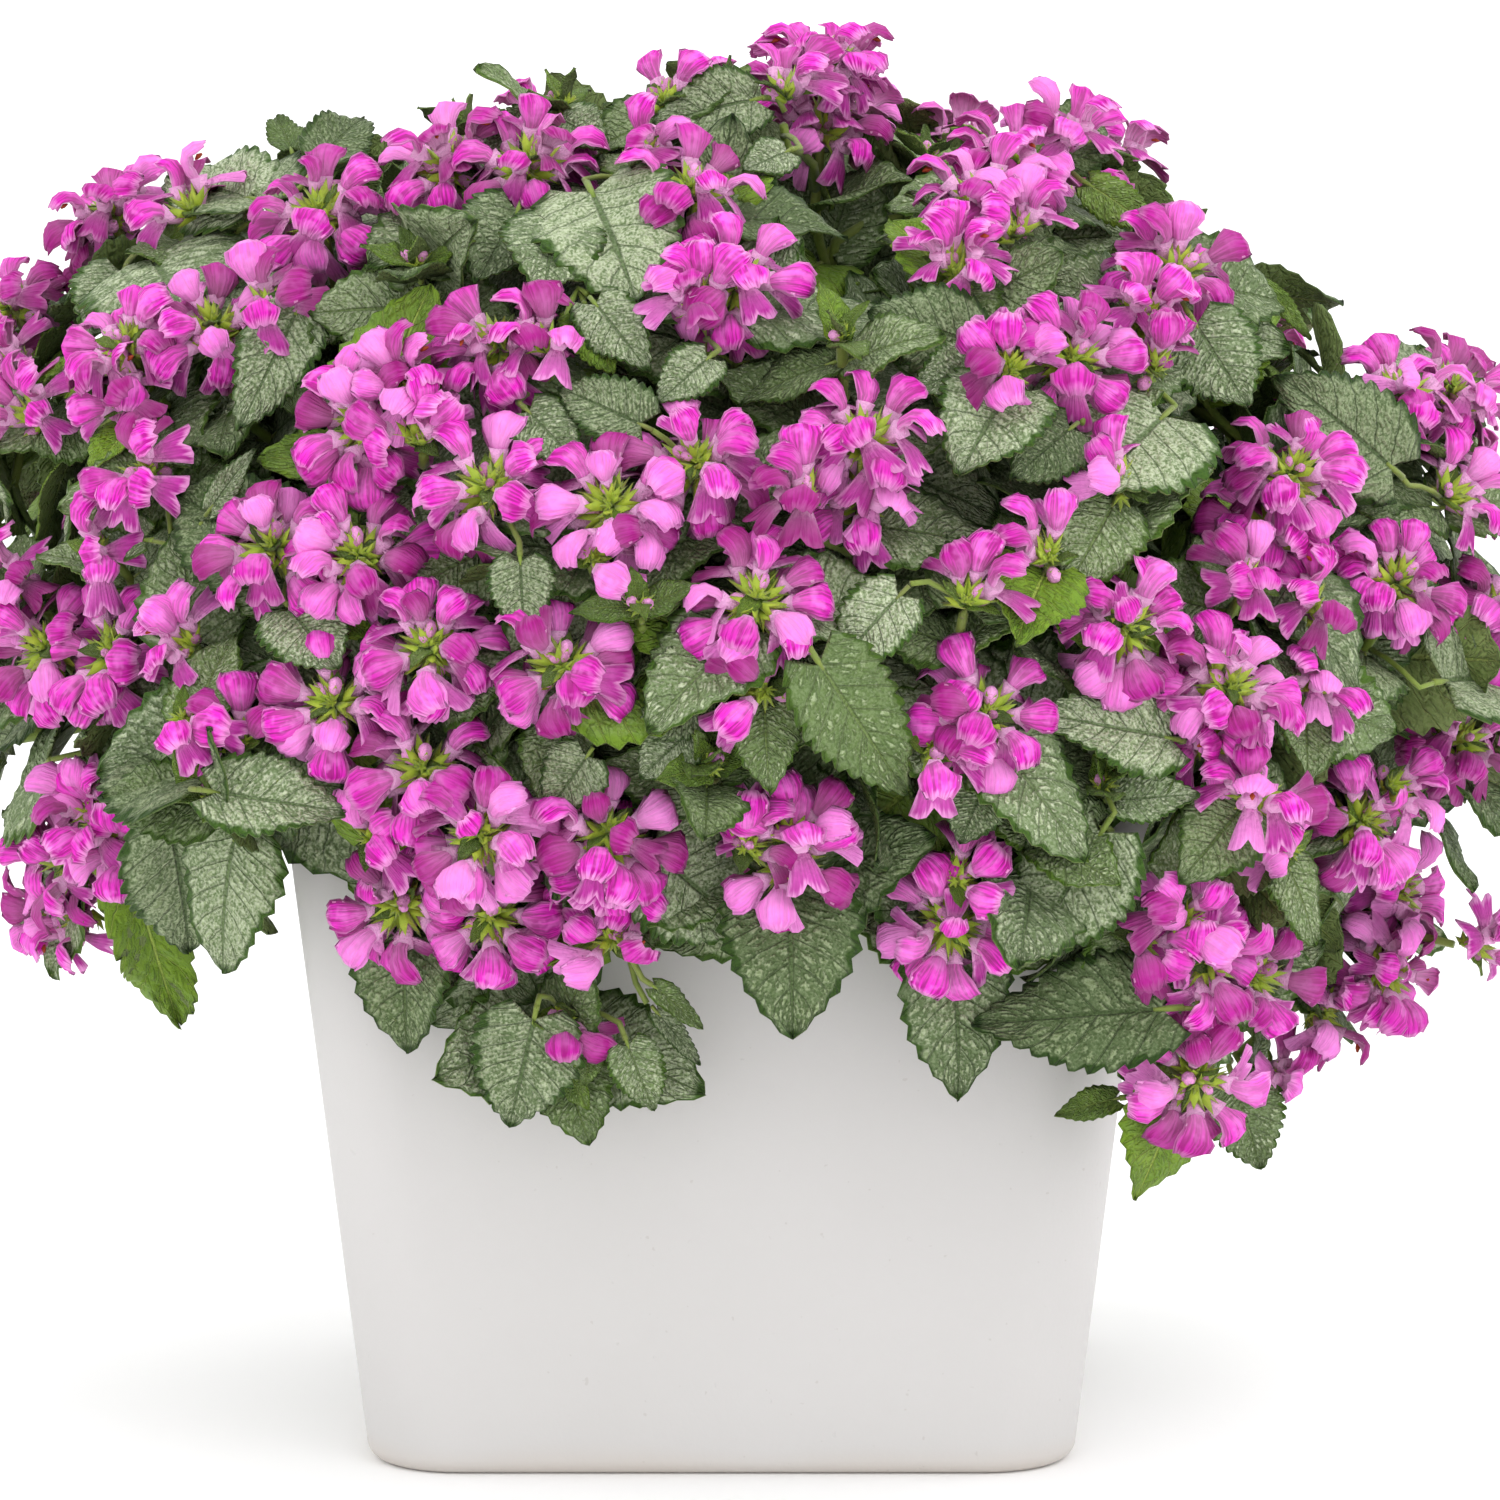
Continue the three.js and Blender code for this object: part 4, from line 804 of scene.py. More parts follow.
HOOD_COLUMNS, HOOD_TURN = 7, 1.35
HOOD_LEAN, HOOD_DROOP, HOOD_VARIES = 0.28, 1.6, 0.12
HOOD_WAVE, HOOD_FLARE, HOOD_CREASE, HOOD_FRAY = 0.8, 0.28, 0.4, 0.5
HOOD = np.array([  # way out, height, half width, depth
    (8.0, 3.6, 1.6, 1.7), (9.4, 7.8, 3.0, 2.9), (12.4, 10.8, 4.3, 3.7), (16.0, 11.8, 5.0, 3.6),
    (19.3, 10.3, 4.6, 2.7), (21.2, 7.9, 3.0, 1.3)])
LIP = np.array([  # way out, height, half width
    (9.4, 3.2, 2.0), (13.8, 0.3, 4.1), (17.8, -4.6, 6.0)])
LIP_NOTCH = np.array([-1.6, 0.7, 1.1, -1.9, 1.1, 0.7, -1.6])
LIP_VARIES, LIP_SAG, LIP_CUP, LIP_CLEFT = 0.15, 0.28, 0.5, 0.9
PETAL_THICK, FLOWER_KINDS = 0.3, 12
CUP_TILT, CUP_SIZE, CUP_OUT = 0.35, 1.15, 0.6  # of the calyx of an open flower


def spine_ways(spine):
    """The way ahead along a petal's spine and the way into its hollow."""
    ahead = np.gradient(spine, axis=0)
    ahead /= np.linalg.norm(ahead, axis=1)[:, None]
    inward = np.stack([ahead[:, 1], -ahead[:, 0], 0 * ahead[:, 0]], -1)
    return ahead[:, None], inward[:, None]


def petal_sheet(rows, spine, tones):
    """A closed thin petal. Its rows are points from side to side, and it is as thick as a
    petal below them."""
    count, width = rows.shape[:2]
    inward = spine_ways(spine)[1]
    low = (rows - spine[:, None]) * (1, 1, 0.94) + spine[:, None] + inward * PETAL_THICK
    points = np.concatenate([rows.reshape(-1, 3), low.reshape(-1, 3)])
    u, v = np.meshgrid(np.linspace(0, 1, width), np.linspace(0, 1, count))
    places = np.tile(np.stack([u, v], -1).reshape(-1, 2), (2, 1))
    return Form(points, shell_faces(count - 1, width - 1), [], places,
                tones.reshape(-1, 4), "petal")


def hood(kind):
    """The upper lip, a hood that arches out over the mouth. Each kind of flower leans,
    droops, creases and frays by its own luck."""
    count = len(HOOD)
    s = np.linspace(0, 1, count)[:, None]
    turn = np.linspace(-1, 1, HOOD_COLUMNS + 1)[None]
    lean = HOOD_LEAN * luck(kind, 1, 30)
    flat = HOOD[:, :2] - HOOD[0, :2]
    spine = np.zeros((count, 3))
    spine[:, 0] = HOOD[0, 0] + flat[:, 0] * math.cos(lean) - flat[:, 1] * math.sin(lean)
    spine[:, 1] = HOOD[0, 1] + flat[:, 0] * math.sin(lean) + flat[:, 1] * math.cos(lean)
    spine[:, 1] -= HOOD_DROOP * chance(kind, 2, 30) * s[:, 0] ** 3
    ahead, inward = spine_ways(spine)
    half = HOOD[:, 2:3] * (1 + HOOD_VARIES * luck(kind, 3, 30))
    depth = HOOD[:, 3:] * (0.7 + 0.45 * chance(kind, 8, 30))
    hollow = (1 - np.cos(turn * HOOD_TURN)) / (1 - math.cos(HOOD_TURN))
    wave = HOOD_WAVE * np.sin(9 * s + 6 * chance(kind, 4, 30) + 2 * turn) * turn ** 4
    crease = HOOD_CREASE * np.cos(2.2 * math.pi * turn + 3 * luck(kind, 10, 30))
    drop = depth * hollow * (1 - 0.35 * turn ** 6 * s) + wave + crease * np.sin(math.pi * s)
    flare = 1 + HOOD_FLARE * np.abs(turn) ** 4 * s
    side = half * np.sin(turn * HOOD_TURN) / math.sin(HOOD_TURN) * flare
    side = side + HOOD_FRAY * np.sin(5 * s + 6 * chance(kind, 9, 30)) * s
    notch = (1.6 * chance(kind, 5, 30) - 1.1) * (np.abs(turn) < 0.3) * (s == 1)
    notch = notch + HOOD_FRAY * np.sin(8 * turn + 6 * chance(kind, 11, 30)) * (s == 1)
    rows = spine[:, None] + inward * drop[..., None] - UP * side[..., None]
    rows = rows + ahead * notch[..., None]
    tones = np.zeros((2, count, HOOD_COLUMNS + 1, 4))
    tones[..., 1] = 0.4 * (1 - s) ** 2
    tones[1, ..., 1] = 0.1 + 0.7 * (1 - s)
    tones[1, ..., 3] = 1
    return petal_sheet(rows, spine, tones)


def lip(kind):
    """The lower lip, which hangs out in two lobes."""
    u = np.linspace(-1, 1, len(LIP_NOTCH))
    spread = 1 + LIP_VARIES * luck(kind, 6, 30)
    spine = np.concatenate([LIP[:, :2], np.zeros((len(LIP), 1))], 1)
    rows = []
    for k, (out, height, half) in enumerate(LIP):
        share = k / (len(LIP) - 1)
        notch = LIP_NOTCH * share ** 3
        sag = (LIP_SAG * np.abs(u) + LIP_CUP * chance(kind, 7, 30) * u * u) * half
        cleft = LIP_CLEFT * share * (np.abs(u) < 0.1)
        rows.append(np.stack([out + 0.7 * notch, height - 0.6 * notch - sag - cleft,
                              -half * spread * u], -1))
    tones = np.zeros((2, len(LIP), len(u), 4))
    tones[..., 1] = np.array([0.7, 0.15, 0])[:, None]
    tones[..., 2] = 1
    return petal_sheet(np.array(rows), spine, tones)


def calyx():
    """A green cup with five pointed teeth, along +X."""
    points = []
    for out, radius, turn in ((0, 0.9, 0), (4.6, 1.9, 0), (8.2, 3.1, math.pi / 5)):
        turns = np.arange(5) * 2 * math.pi / 5 + turn
        points.append(np.stack([out + 0 * turns, radius * np.cos(turns),
                                radius * np.sin(turns)], -1))
    points = np.concatenate([*points, [[0, 0, 0], [3.6, 0, 0]]])
    foot, hollow = 15, 16
    faces, quads = [], []
    for k in range(5):
        n = (k + 1) % 5
        low, low_next, tooth = 5 + k, 5 + n, 10 + k
        faces += [(n, k, foot), (low, low_next, tooth), (tooth, low_next, hollow),
                  (low, tooth, hollow)]
        quads.append((k, n, low_next, low))
    places = np.stack([points[:, 0] / 8, points[:, 1] / 6], -1)
    return Form(points, quads, faces, places, (0, 0.4, 0, 0), "calyx")


THROAT = tube([(2.6, -0.6, 0), (7, 1.4, 0), (10.4, 4.8, 0)], [1.2, 1.7, 3.0], 6, "petal",
              (0, 0.5, 0, 0), UP)
ANTHERS = tube([(14.2, 8.0, 0), (15.6, 7.8, 0), (16.8, 7.2, 0)], [0.3, 0.8, 0.3], 4, "anther",
               (0, 0, 0, 0), UP)
BUD = tube([(2.5, 0, 0), (4.2, 0, 0), (6.4, 0, 0), (8.2, 0, 0), (9.2, 0, 0)],
           [1.0, 2.0, 2.5, 1.9, 0.8], 7, "petal", (0, 0.25, 0, 0), UP)
CALYX = calyx()
OPEN_FLOWERS = [[hood(kind), lip(kind), THROAT] + [ANTHERS] * (kind % 2)
                for kind in range(FLOWER_KINDS)]


def kept_inside(forms):
    """Forms, moved in where they would stand out of the frame's box."""
    points = np.concatenate([form.points for form in forms])
    shift = np.maximum(box_low - points.min(0), 0) + np.minimum(box_high - points.max(0), 0)
    for form in forms:
        form.points = form.points + shift
    return forms


def basis_of(out, axis, tilt, roll=0.0):
    """Directions for a flower that points out, tilted towards the axis and rolled."""
    way = out * math.cos(tilt) + axis * math.sin(tilt)
    high = axis * math.cos(tilt) - out * math.sin(tilt)
    side = np.cross(way, high)
    high, side = (high * math.cos(roll) + side * math.sin(roll),
                  side * math.cos(roll) - high * math.sin(roll))
    return np.array([way, high, side])


def flower(centre, out, axis, tilt, roll, size, seed):
    """An open flower of one of the kinds, in its calyx."""
    basis = basis_of(out, axis, tilt, roll) * size
    shade = chance(seed, 9, 1)
    forms = OPEN_FLOWERS[int(FLOWER_KINDS * chance(seed, 9, 4))]
    made = [form.moved(centre, basis, shade) for form in forms]
    cup = basis_of(out, axis, tilt + CUP_TILT, roll) * size * CUP_SIZE
    made.append(CALYX.moved(centre + cup[0] * CUP_OUT, cup, shade))
    return kept_inside(made)


def closed_flower(centre, out, axis, tilt, size, seed, petals):
    """A calyx, and the bud in it if its petals are out."""
    cup = basis_of(out, axis, tilt) * size
    made = [CALYX.moved(centre, cup, chance(seed, 9, 2))]
    if petals:
        made.append(BUD.moved(centre, cup, chance(seed, 9, 3)))
    return kept_inside(made)


def tuft(centre, axis, seed, count, size):
    """Young leaves and green calyces that crowd round the end of a shoot. The leaves stand
    in pairs, each across the last, with small steep ones over large ones."""
    made = []
    phase = 6 * chance(seed, 1, 3)
    for k in range(count):
        pair = k // 2
        steep, scale = ((38, 1), (66, 0.62))[pair % 2]
        out = turned(axis, phase + math.pi * k + (math.pi / 2) * pair + 0.3 * luck(seed, k, 4))
        rise = math.radians(steep + 14 * luck(seed, k, 5))
        along = out * math.cos(rise) + axis * math.sin(rise)
        leaf = Leaf(centre + axis * (1 + 2 * pair), along, across(axis, along), size * scale,
                    1.2 * luck(seed, k, 7))
        young = 0.5 + 0.4 * chance(seed, k, 6)
        made += blade(leaf, SMALL, young, 0.5, seed + 13 * k, YOUNG_WIDTH)[:1]
    for k in range(2 * count):
        tilt = 0.75 + 0.5 * chance(seed, k, 8)
        made += closed_flower(centre + axis * (1 + 0.5 * (k % 3)), turned(axis, phase + k * 2.4),
                              axis, tilt, 0.42 + 0.012 * size, seed + k,
                              chance(seed, k, 9) > 0.8)
    return made


YOUNG_WIDTH = 0.72

# Flowers in a ring, their tilt, their place along the stem and their size
WHORL_RINGS = [(COROLLAS, 0.12, 0.0, 1), (7, -0.32, -2.2, 1), (4, 0.85, 2.0, 0.8)]
FEW_FLOWERS, FEW_GATHER, FEWEST = 9, 0.35, 5  # a small whorl stands up more than a full one


def whorl(centre, axis, phase, sizes, seed, flowers):
    """Flowers round a stem: one ring that stands up, one that spreads and one at the top."""
    made = []
    number = 0
    gather = FEW_GATHER if flowers < FEW_FLOWERS else 0
    for ring, (count, ring_tilt, lift, scale) in enumerate(WHORL_RINGS):
        for k in range(min(count, flowers - number)):
            angle = phase + (k + 0.5 * ring) * 2 * math.pi / count + 0.2 * luck(seed, number, 11)
            tilt = ring_tilt + gather + 0.3 * luck(seed, number, 12)
            size = sizes[k % COROLLAS] * scale * (1 + 0.1 * luck(seed, number, 16))
            made += flower(centre + axis * lift, turned(axis, angle), axis, tilt,
                           0.7 * luck(seed, number, 13), size, seed * 17 + number)
            number += 1
    for k in range(5 if flowers >= FEWEST else 3):
        angle = phase + 0.5 + k * 1.26 + 0.3 * luck(seed, k, 14)
        made += closed_flower(centre + axis * (1.5 - k), turned(axis, angle), axis,
                              0.9 - 0.35 * k, 0.8, seed * 7 + k, chance(seed, k, 15) < 0.5)
    return made


# The planter and the soil

def planter_outline(z, inset):
    """The planter's rounded square at one height, or one inside it."""
    half, radius = planter_half(z) - inset, CORNER_RADIUS - inset
    turns = np.radians(90 * np.repeat(np.arange(4), CORNER_STEPS + 1)
                       + np.tile(np.linspace(0, 90, CORNER_STEPS + 1), 4))
    middles = np.radians(45 + 90 * np.repeat(np.arange(4), CORNER_STEPS + 1))
    x = np.sign(np.cos(middles)) * (half - radius) + radius * np.cos(turns)
    y = np.sign(np.sin(middles)) * (half - radius) + radius * np.sin(turns)
    return np.stack([x, y, np.full(len(x), float(z))], -1)


def lofted(outlines, look):
    """A closed skin through outlines from the lowest of its outside, round to its last one."""
    middles = [np.mean(outlines[0], 0), np.mean(outlines[-1], 0)]
    places = np.concatenate([*outlines, middles])[:, :2] / 100
    return capped(outlines, middles, places, (0, 0, 0, 0), look)


def ring_form(outlines, look):
    """A closed skin through outlines whose last one runs back to the first."""
    count, sides = len(outlines), len(outlines[0])
    loop = np.pad(np.arange(count * sides).reshape(count, sides), ((0, 1), (0, 1)), "wrap")
    points = np.concatenate(outlines)
    return Form(points, grid_quads(loop)[:, ::-1], [], points[:, :2] / 100, (0, 0, 0, 0), look)


def planter_form():
    """The planter's wall, by height and inset: up its outside, over the rim and down inside."""
    foot = [(FOOT_ROUND * (1 - math.sin(a)), FOOT_ROUND * (1 - math.cos(a)))
            for a in np.radians([90, 72, 54, 36, 18, 0])]
    sides = [(z, 0) for z in range(20, 196, 16)]
    rim = [(PLANTER_HEIGHT - RIM_ROUND * (1 - math.cos(a)), RIM_ROUND * (1 - math.sin(a)))
           for a in np.radians([90, 60, 30, 0])]
    rim_in = [(z, WALL - inset) for z, inset in reversed(rim)]
    inside = [(150, WALL), (FLOOR, WALL), (0, WALL)]
    steps = foot + sides + rim + rim_in + inside
    return ring_form([planter_outline(z, inset) for z, inset in steps], "pot")


def floor_quarter(hand_x, hand_y):
    """A quarter of the planter's floor, round its drainage hole."""
    turns = np.arange(DRAIN_STEPS) * 2 * math.pi / DRAIN_STEPS
    ways = np.stack([np.cos(turns), np.sin(turns)], -1)
    hole = DRAIN_PLACE + DRAIN_RADIUS * ways
    outlines = []
    for z in (0, FLOOR):
        half = planter_half(z) - WALL
        rooms = np.where(ways > 0, half - DRAIN_PLACE, DRAIN_PLACE) / np.maximum(np.abs(ways), 1e-9)
        edge = DRAIN_PLACE + ways * rooms.min(1)[:, None]
        middle = half - (CORNER_RADIUS - WALL)
        gap = edge - middle
        far = np.linalg.norm(gap, axis=1)[:, None]
        cut = (gap > 0).all(1)[:, None]
        edge = np.where(cut, middle + gap / far * (half - middle), edge)
        outlines += [(edge, z), (hole, z)] if z else [(hole, z), (edge, z)]
    flat = [np.column_stack([xy, np.full(len(xy), float(z))]) for xy, z in outlines]
    quarter = ring_form(flat, "pot")
    quarter.points = quarter.points * (hand_x, hand_y, 1)
    if hand_x * hand_y < 0:
        quarter.quads = quarter.quads[:, ::-1]
    return quarter


def soil_form():
    """The soil, which sinks a little along the wall and is lumpy and rough on top."""
    rings = [planter_outline(z, WALL + SOIL_GAP) for z in (FLOOR + SOIL_GAP, SOIL_TOP - 6)]
    rim = rings[-1]
    for ring in range(SOIL_RINGS):
        loop = rim * (1 - ring / SOIL_RINGS)
        x, y = loop[:, 0], loop[:, 1]
        rough = 0.9 * np.sin(x * 0.9 + 2 * np.sin(y * 0.7)) * np.cos(y * 0.8 + x * 0.3)
        loop[:, 2] = (SOIL_TOP + SOIL_BUMP * np.sin(x * 0.07 + 1) * np.cos(y * 0.09 - x * 0.03)
                      + rough - (3 if ring == 0 else 0))
        rings.append(loop)
    return lofted(rings, "soil")


# Putting the plant together

LEAF_SPOTS = ((0.35, 0), (0.65, 0), (1, 0), (0.4, 0.35), (0.4, -0.35))  # along it and across
BOX_ROOM, WALL_ROOM, RIM_ROOM, LEAF_ROOM = 1, 3, 6, 8

# The leaf pairs that are added, by how far they are below the end of their stem
EXTRA_PAIRS = {"flower": (20, 37, 55, 74, 95), "leafy": (31, 47, 63, 82), "added": (3, 16, 30)}
PAIR_APART, PAIR_FOOT, PAIR_DEPTH, ADDED_KEY = 9, 30, 0.4, 40
PAIR_VARIES, PAIR_GROWS = 0.12, 0.08

# A side shoot's best length, how far from the foot and the top of a stem it leaves it, how
# much it matters that it leans its own way, and how much it bows
SIDE_REACH, SIDE_FOOT, SIDE_TOP, SIDE_LEAN, SIDE_BOW = 30, 40, 12, 12, 0.3

# What differs between the frame's stems and the side shoots, in that order
PAIR_LENGTH, STEM_GROWTH = (38, 30), (1.3, 1.05)
HEAD_REACH, HEAD_SIGHT = (17, 11), (52, 34)  # in millimetres and in pixels
SIDE_FLOWER_SIZE = 0.9

# How many young leaves the end of a stem has, and their length
TUFTS = {"flower": (2, 9), "leafy": (4, 17)}

# The flowers of a whorl of the frame, full or loose, the share of loose ones, and how far
# above its centre the middle of a whorl is
FULL_HEAD, LOOSE_HEAD, LOOSE_SHARE, HEAD_LIFT = 14, 11, 0.4, 4

# The luck from which a leaf is young, and from where on and from which length it is fine
YOUNG_FROM, FINE_FROM, FINE_LENGTH = 0.91, 0.8, 20

# A leaf of the photograph: how far its root stands back and its tip forward, how far both
# stay inside the box, how much it faces up, and its stalk
ROOT_BACK, TIP_FORWARD, FRONT_ROOM, FACE_UP = 3, 1, 4, 0.35
STALK_HALF, STALK_HEEL, SHOWN_SEED = 0.85, 8, 5000

leaf_middles = []
frame_stems = list(shoots)


def leaf_samples(leaf):
    return np.array([leaf.at(way, half, 0) for way, half in LEAF_SPOTS])


def take_room(leaf):
    """Keeps the leaves to come off the middle of a leaf."""
    leaf_middles.extend(leaf_samples(leaf)[:2])


def has_room(leaf):
    """If an added leaf is inside the frame's box, clear of the pot, the heads and the leaves,
    hides nothing that the photograph shows, and keeps to the plant's edges in it."""
    points = leaf_samples(leaf)
    if (points < box_low + BOX_ROOM).any() or (points > box_high - BOX_ROOM).any():
        return False
    wall = planter_half(np.minimum(points[:, 2], PLANTER_HEIGHT)) + WALL_ROOM
    by_wall = np.abs(points[:, :2]).max(1) < wall
    if (by_wall & (points[:, 2] < PLANTER_HEIGHT + RIM_ROOM)).any():
        return False
    if (np.linalg.norm(points[:, None] - head_middles, axis=2) < head_reach).any():
        return False
    columns, rows, far = on_photo(points)
    near = np.hypot(columns[:, None] - seen_columns, rows[:, None] - seen_rows) < seen_reach
    if (near & (far[:, None] < seen_far)).any():
        return False
    past = (rows < edge_row(UPPER_EDGE, columns)) | (rows > edge_row(LOWER_EDGE, columns))
    if (past & (np.abs(columns - PHOTO_MIDDLE) < PHOTO_MIDDLE)).any():
        return False
    gaps = np.linalg.norm(points[:2, None] - np.array(leaf_middles), axis=2)
    return gaps.min() > LEAF_ROOM


def group_of(stem):
    return "leafy" if stem.kind == "leafy" else "flower"


def add_pairs(stem):
    """Grows the pairs of leaves that the frame leaves out, each turned against the last."""
    way = way_along(stem.route)
    whole = way[-1]
    taken = [leaf.below for leaf in stem.leaves]
    for order, below in enumerate(EXTRA_PAIRS["added" if stem.added else group_of(stem)]):
        if any(abs(below - t) < PAIR_APART for t in taken) or below > whole - PAIR_FOOT:
            continue
        place, ahead, side = ring_at(stem.route, way, whole - below, stem.side)
        if depth_share(place) < PAIR_DEPTH:
            continue
        facings = (side, np.cross(ahead, side))
        for s in range(2):
            facing = facings[(order + 1) % 2] * (1 if s else -1)
            size = PAIR_LENGTH[stem.added] * (1 + PAIR_VARIES * luck(stem.index, order, s))
            size = size * (1 + PAIR_GROWS * order)
            key = ADDED_KEY + 2 * order + s
            for leaf in leaf_tries(stem.index, key, place, ahead, facing, size):
                if has_room(leaf):
                    stem.leaves.append(leaf)
                    take_room(leaf)
                    break


def add_side_shoot(place, way, rise, flowers, behind):
    """Grows a stem from the fittest place on the frame's stems to a place of its own."""
    axis = raised(way, rise)
    best = None
    for stem in frame_stems:
        gone = way_along(stem.route)
        for k in range(len(gone)):
            if not SIDE_FOOT < gone[k] < gone[-1] - SIDE_TOP:
                continue
            gap = place - stem.route[k]
            far = np.linalg.norm(gap)
            score = abs(far - SIDE_REACH) - SIDE_LEAN * (gap @ axis) / (far + 1e-6)
            if best is None or score < best[0]:
                best = (score, stem, k)
    _, parent, k = best
    start = parent.route[k]
    ahead = unit(parent.route[min(k + 1, len(parent.route) - 1)] - parent.route[k - 1])
    gap = place - start
    far = np.linalg.norm(gap)
    leave = start + unit(ahead + across(gap, ahead)) * SIDE_BOW * far
    made = Shoot(len(shoots), parent.plant, place, axis, "one" if flowers else "leafy", behind)
    made.route = smooth_route([start, leave, place - axis * SIDE_BOW * far, place])
    made.side = around(unit(gap))[0]
    made.open, made.added = flowers, True
    shoots.append(made)


def let_down(place):
    """A place that lies behind the plant, low enough not to show over its upper edge."""
    column, row, _ = on_photo(place)
    over = edge_row(UPPER_EDGE, column) + TIP_ROOM - row
    return place - UP * max(0, over) / PIXELS_PER_MM


def shown_leaf(column, row, tip_column, tip_row, near):
    """A leaf that the photograph shows from one pixel to another."""
    root, tip = seen_place(column, row), seen_place(tip_column, tip_row)
    root = root + unit(EYE - root) * (near - ROOT_BACK)
    tip = tip + unit(EYE - tip) * (near + TIP_FORWARD)
    for end in (root, tip):
        end[1] = max(end[1], box_low[1] + FRONT_ROOM)
    along = unit(tip - root)
    flat = across(unit(EYE - root) + UP * FACE_UP, along)
    return Leaf(root, along, flat, np.linalg.norm(tip - root), 0.3 * luck(column, row, 1) - 0.5)


def stalk_to(leaf):
    """The stem that a leaf of the photograph grows from, and the stalk between them."""
    heel = leaf.root - leaf.along * STALK_HEEL - leaf.flat * STALK_HEEL
    reach, parent, place = min(
        ((np.linalg.norm(stem.route[k] - heel), stem, stem.route[k])
         for stem in shoots for k in range(4, len(stem.route))), key=lambda found: found[0])
    bend = leaf.root - leaf.along * 0.35 * reach - leaf.flat * 0.1 * reach
    route = smooth_route([place, (place + bend) / 2 + UP * 1.5, bend, leaf.root])
    route = route[::2]
    return parent, tube(route, np.full(len(route), STALK_HALF), 6, "stem",
                        (chance(*leaf.root[:2], 3), 0.3, 0, 0), leaf.flat)


for stem in frame_stems:
    stem.open = FULL_HEAD if chance(stem.index, 3, 3) > LOOSE_SHARE else LOOSE_HEAD
    for leaf in stem.leaves:
        take_room(leaf)
for column, row, rise, flowers in SEEN_SHOOTS:
    place = seen_place(column, row)
    add_side_shoot(place, unit(outward(place) + FRONT * LEAN_TO_EYE), rise, flowers, False)
for turn, height, rise, flowers in BACK_SHOOTS:
    place = let_down(round_place(turn, height))
    add_side_shoot(place, outward(place), rise, flowers, True)
for x, y, height, flowers in TOP_SHOOTS:
    place = let_down(np.array([x, y, height], float))
    add_side_shoot(place, outward(place), TOP_RISE, flowers, True)

# What the leaves that are added keep clear of: the heads, and what the photograph shows
whorls = [(centre + stem.axis * HEAD_LIFT, stem) for stem in shoots for centre in stem.whorls]
head_middles = np.array([place for place, _ in whorls])
head_reach = np.array([HEAD_REACH[stem.added] for _, stem in whorls])
in_sight = [(place, HEAD_SIGHT[stem.added]) for place, stem in whorls if not stem.behind]
shown_leaves = [(shown_leaf(*entry[:5]), entry) for entry in SEEN_LEAVES]
for leaf, _ in shown_leaves:
    take_room(leaf)
    in_sight += [(leaf.at(way, 0, 0), 0.3 * leaf.length * PIXELS_PER_MM) for way in (0.35, 0.75)]
for column, row, reach in BARE:
    place = seen_place(column, row)
    in_sight.append((place - unit(EYE - place) * OVERHANG, reach))
seen_columns, seen_rows, seen_far = on_photo(np.array([place for place, _ in in_sight]))
seen_reach = np.array([reach for _, reach in in_sight])
for stem in shoots:
    add_pairs(stem)

planter_piece = Piece("fine_planter", "planter", ["planter"])
planter_piece.add(planter_form(), *(floor_quarter(x, y) for x in (-1, 1) for y in (-1, 1)))
soil_piece = Piece("fine_soil", "soil", ["soil"])
soil_piece.add(soil_form())
plants = [Piece(f"fine_plant_{p + 1}", "leaf", [f"plant_{p + 1}"]) for p in range(len(PLANTS))]
extras = [Piece(f"side_flowers_{p + 1}", "petal") for p in range(len(PLANTS))]
heads = []


def corolla_size(stem, centre_number, k):
    """The size of a flower in a whorl, as in the frame."""
    number = 2 * (len(stem.whorls) - centre_number) - 1
    return HEAD_SIZE * (SIZE_LEAST + SIZE_VARIES * chance(stem.index, k, number))


def head_phase(stem, name):
    """The turn of a head, as its node of the frame has it."""
    tree = frame_points(name)
    for turn in range(PHASE_TRIES):
        phase = (chance(stem.index, 1, 0) + turn / (PHASE_TRIES - 1)) * 2 * math.pi / COROLLAS
        reach = turned(stem.axis, phase) * COROLLA_TIP[0] + stem.axis * COROLLA_TIP[1]
        if is_there(tree, [stem.place + reach * corolla_size(stem, 0, 0)]):
            return phase
    return chance(stem.index, 1, 0) * 2 * math.pi / COROLLAS


def add_stem(stem, piece):
    """Adds a stem with its leaves and the young ones at its end."""
    route = stem.route[::3]
    if not stem.added:
        route = np.concatenate([route, [stem.route[-1] + stem.axis * (stem.drop + 1)]])
    radii = np.linspace(STEM_HALF_LOW, STEM_HALF_TOP, len(route)) * STEM_GROWTH[stem.added]
    piece.add(tube(route, radii, 8, "stem", (chance(stem.index, 2, 2), 0.3, 0, 0), stem.side,
                   profile=(1, 0.78)))
    for k, leaf in enumerate(stem.leaves):
        seed = stem.index * 31 + k
        size = FINE if depth_share(leaf.at(0.6, 0, 0)) > FINE_FROM else HIDDEN
        young = max(0, 0.5 - leaf.length / 90)
        if chance(seed, 8, 1) > YOUNG_FROM:
            young += 0.8
        piece.add(*blade(leaf, size, young, 0.4 + 0.6 * chance(seed, 8, 2), seed))
    piece.add(*tuft(stem.place, stem.axis, stem.index * 3, *TUFTS[group_of(stem)]))


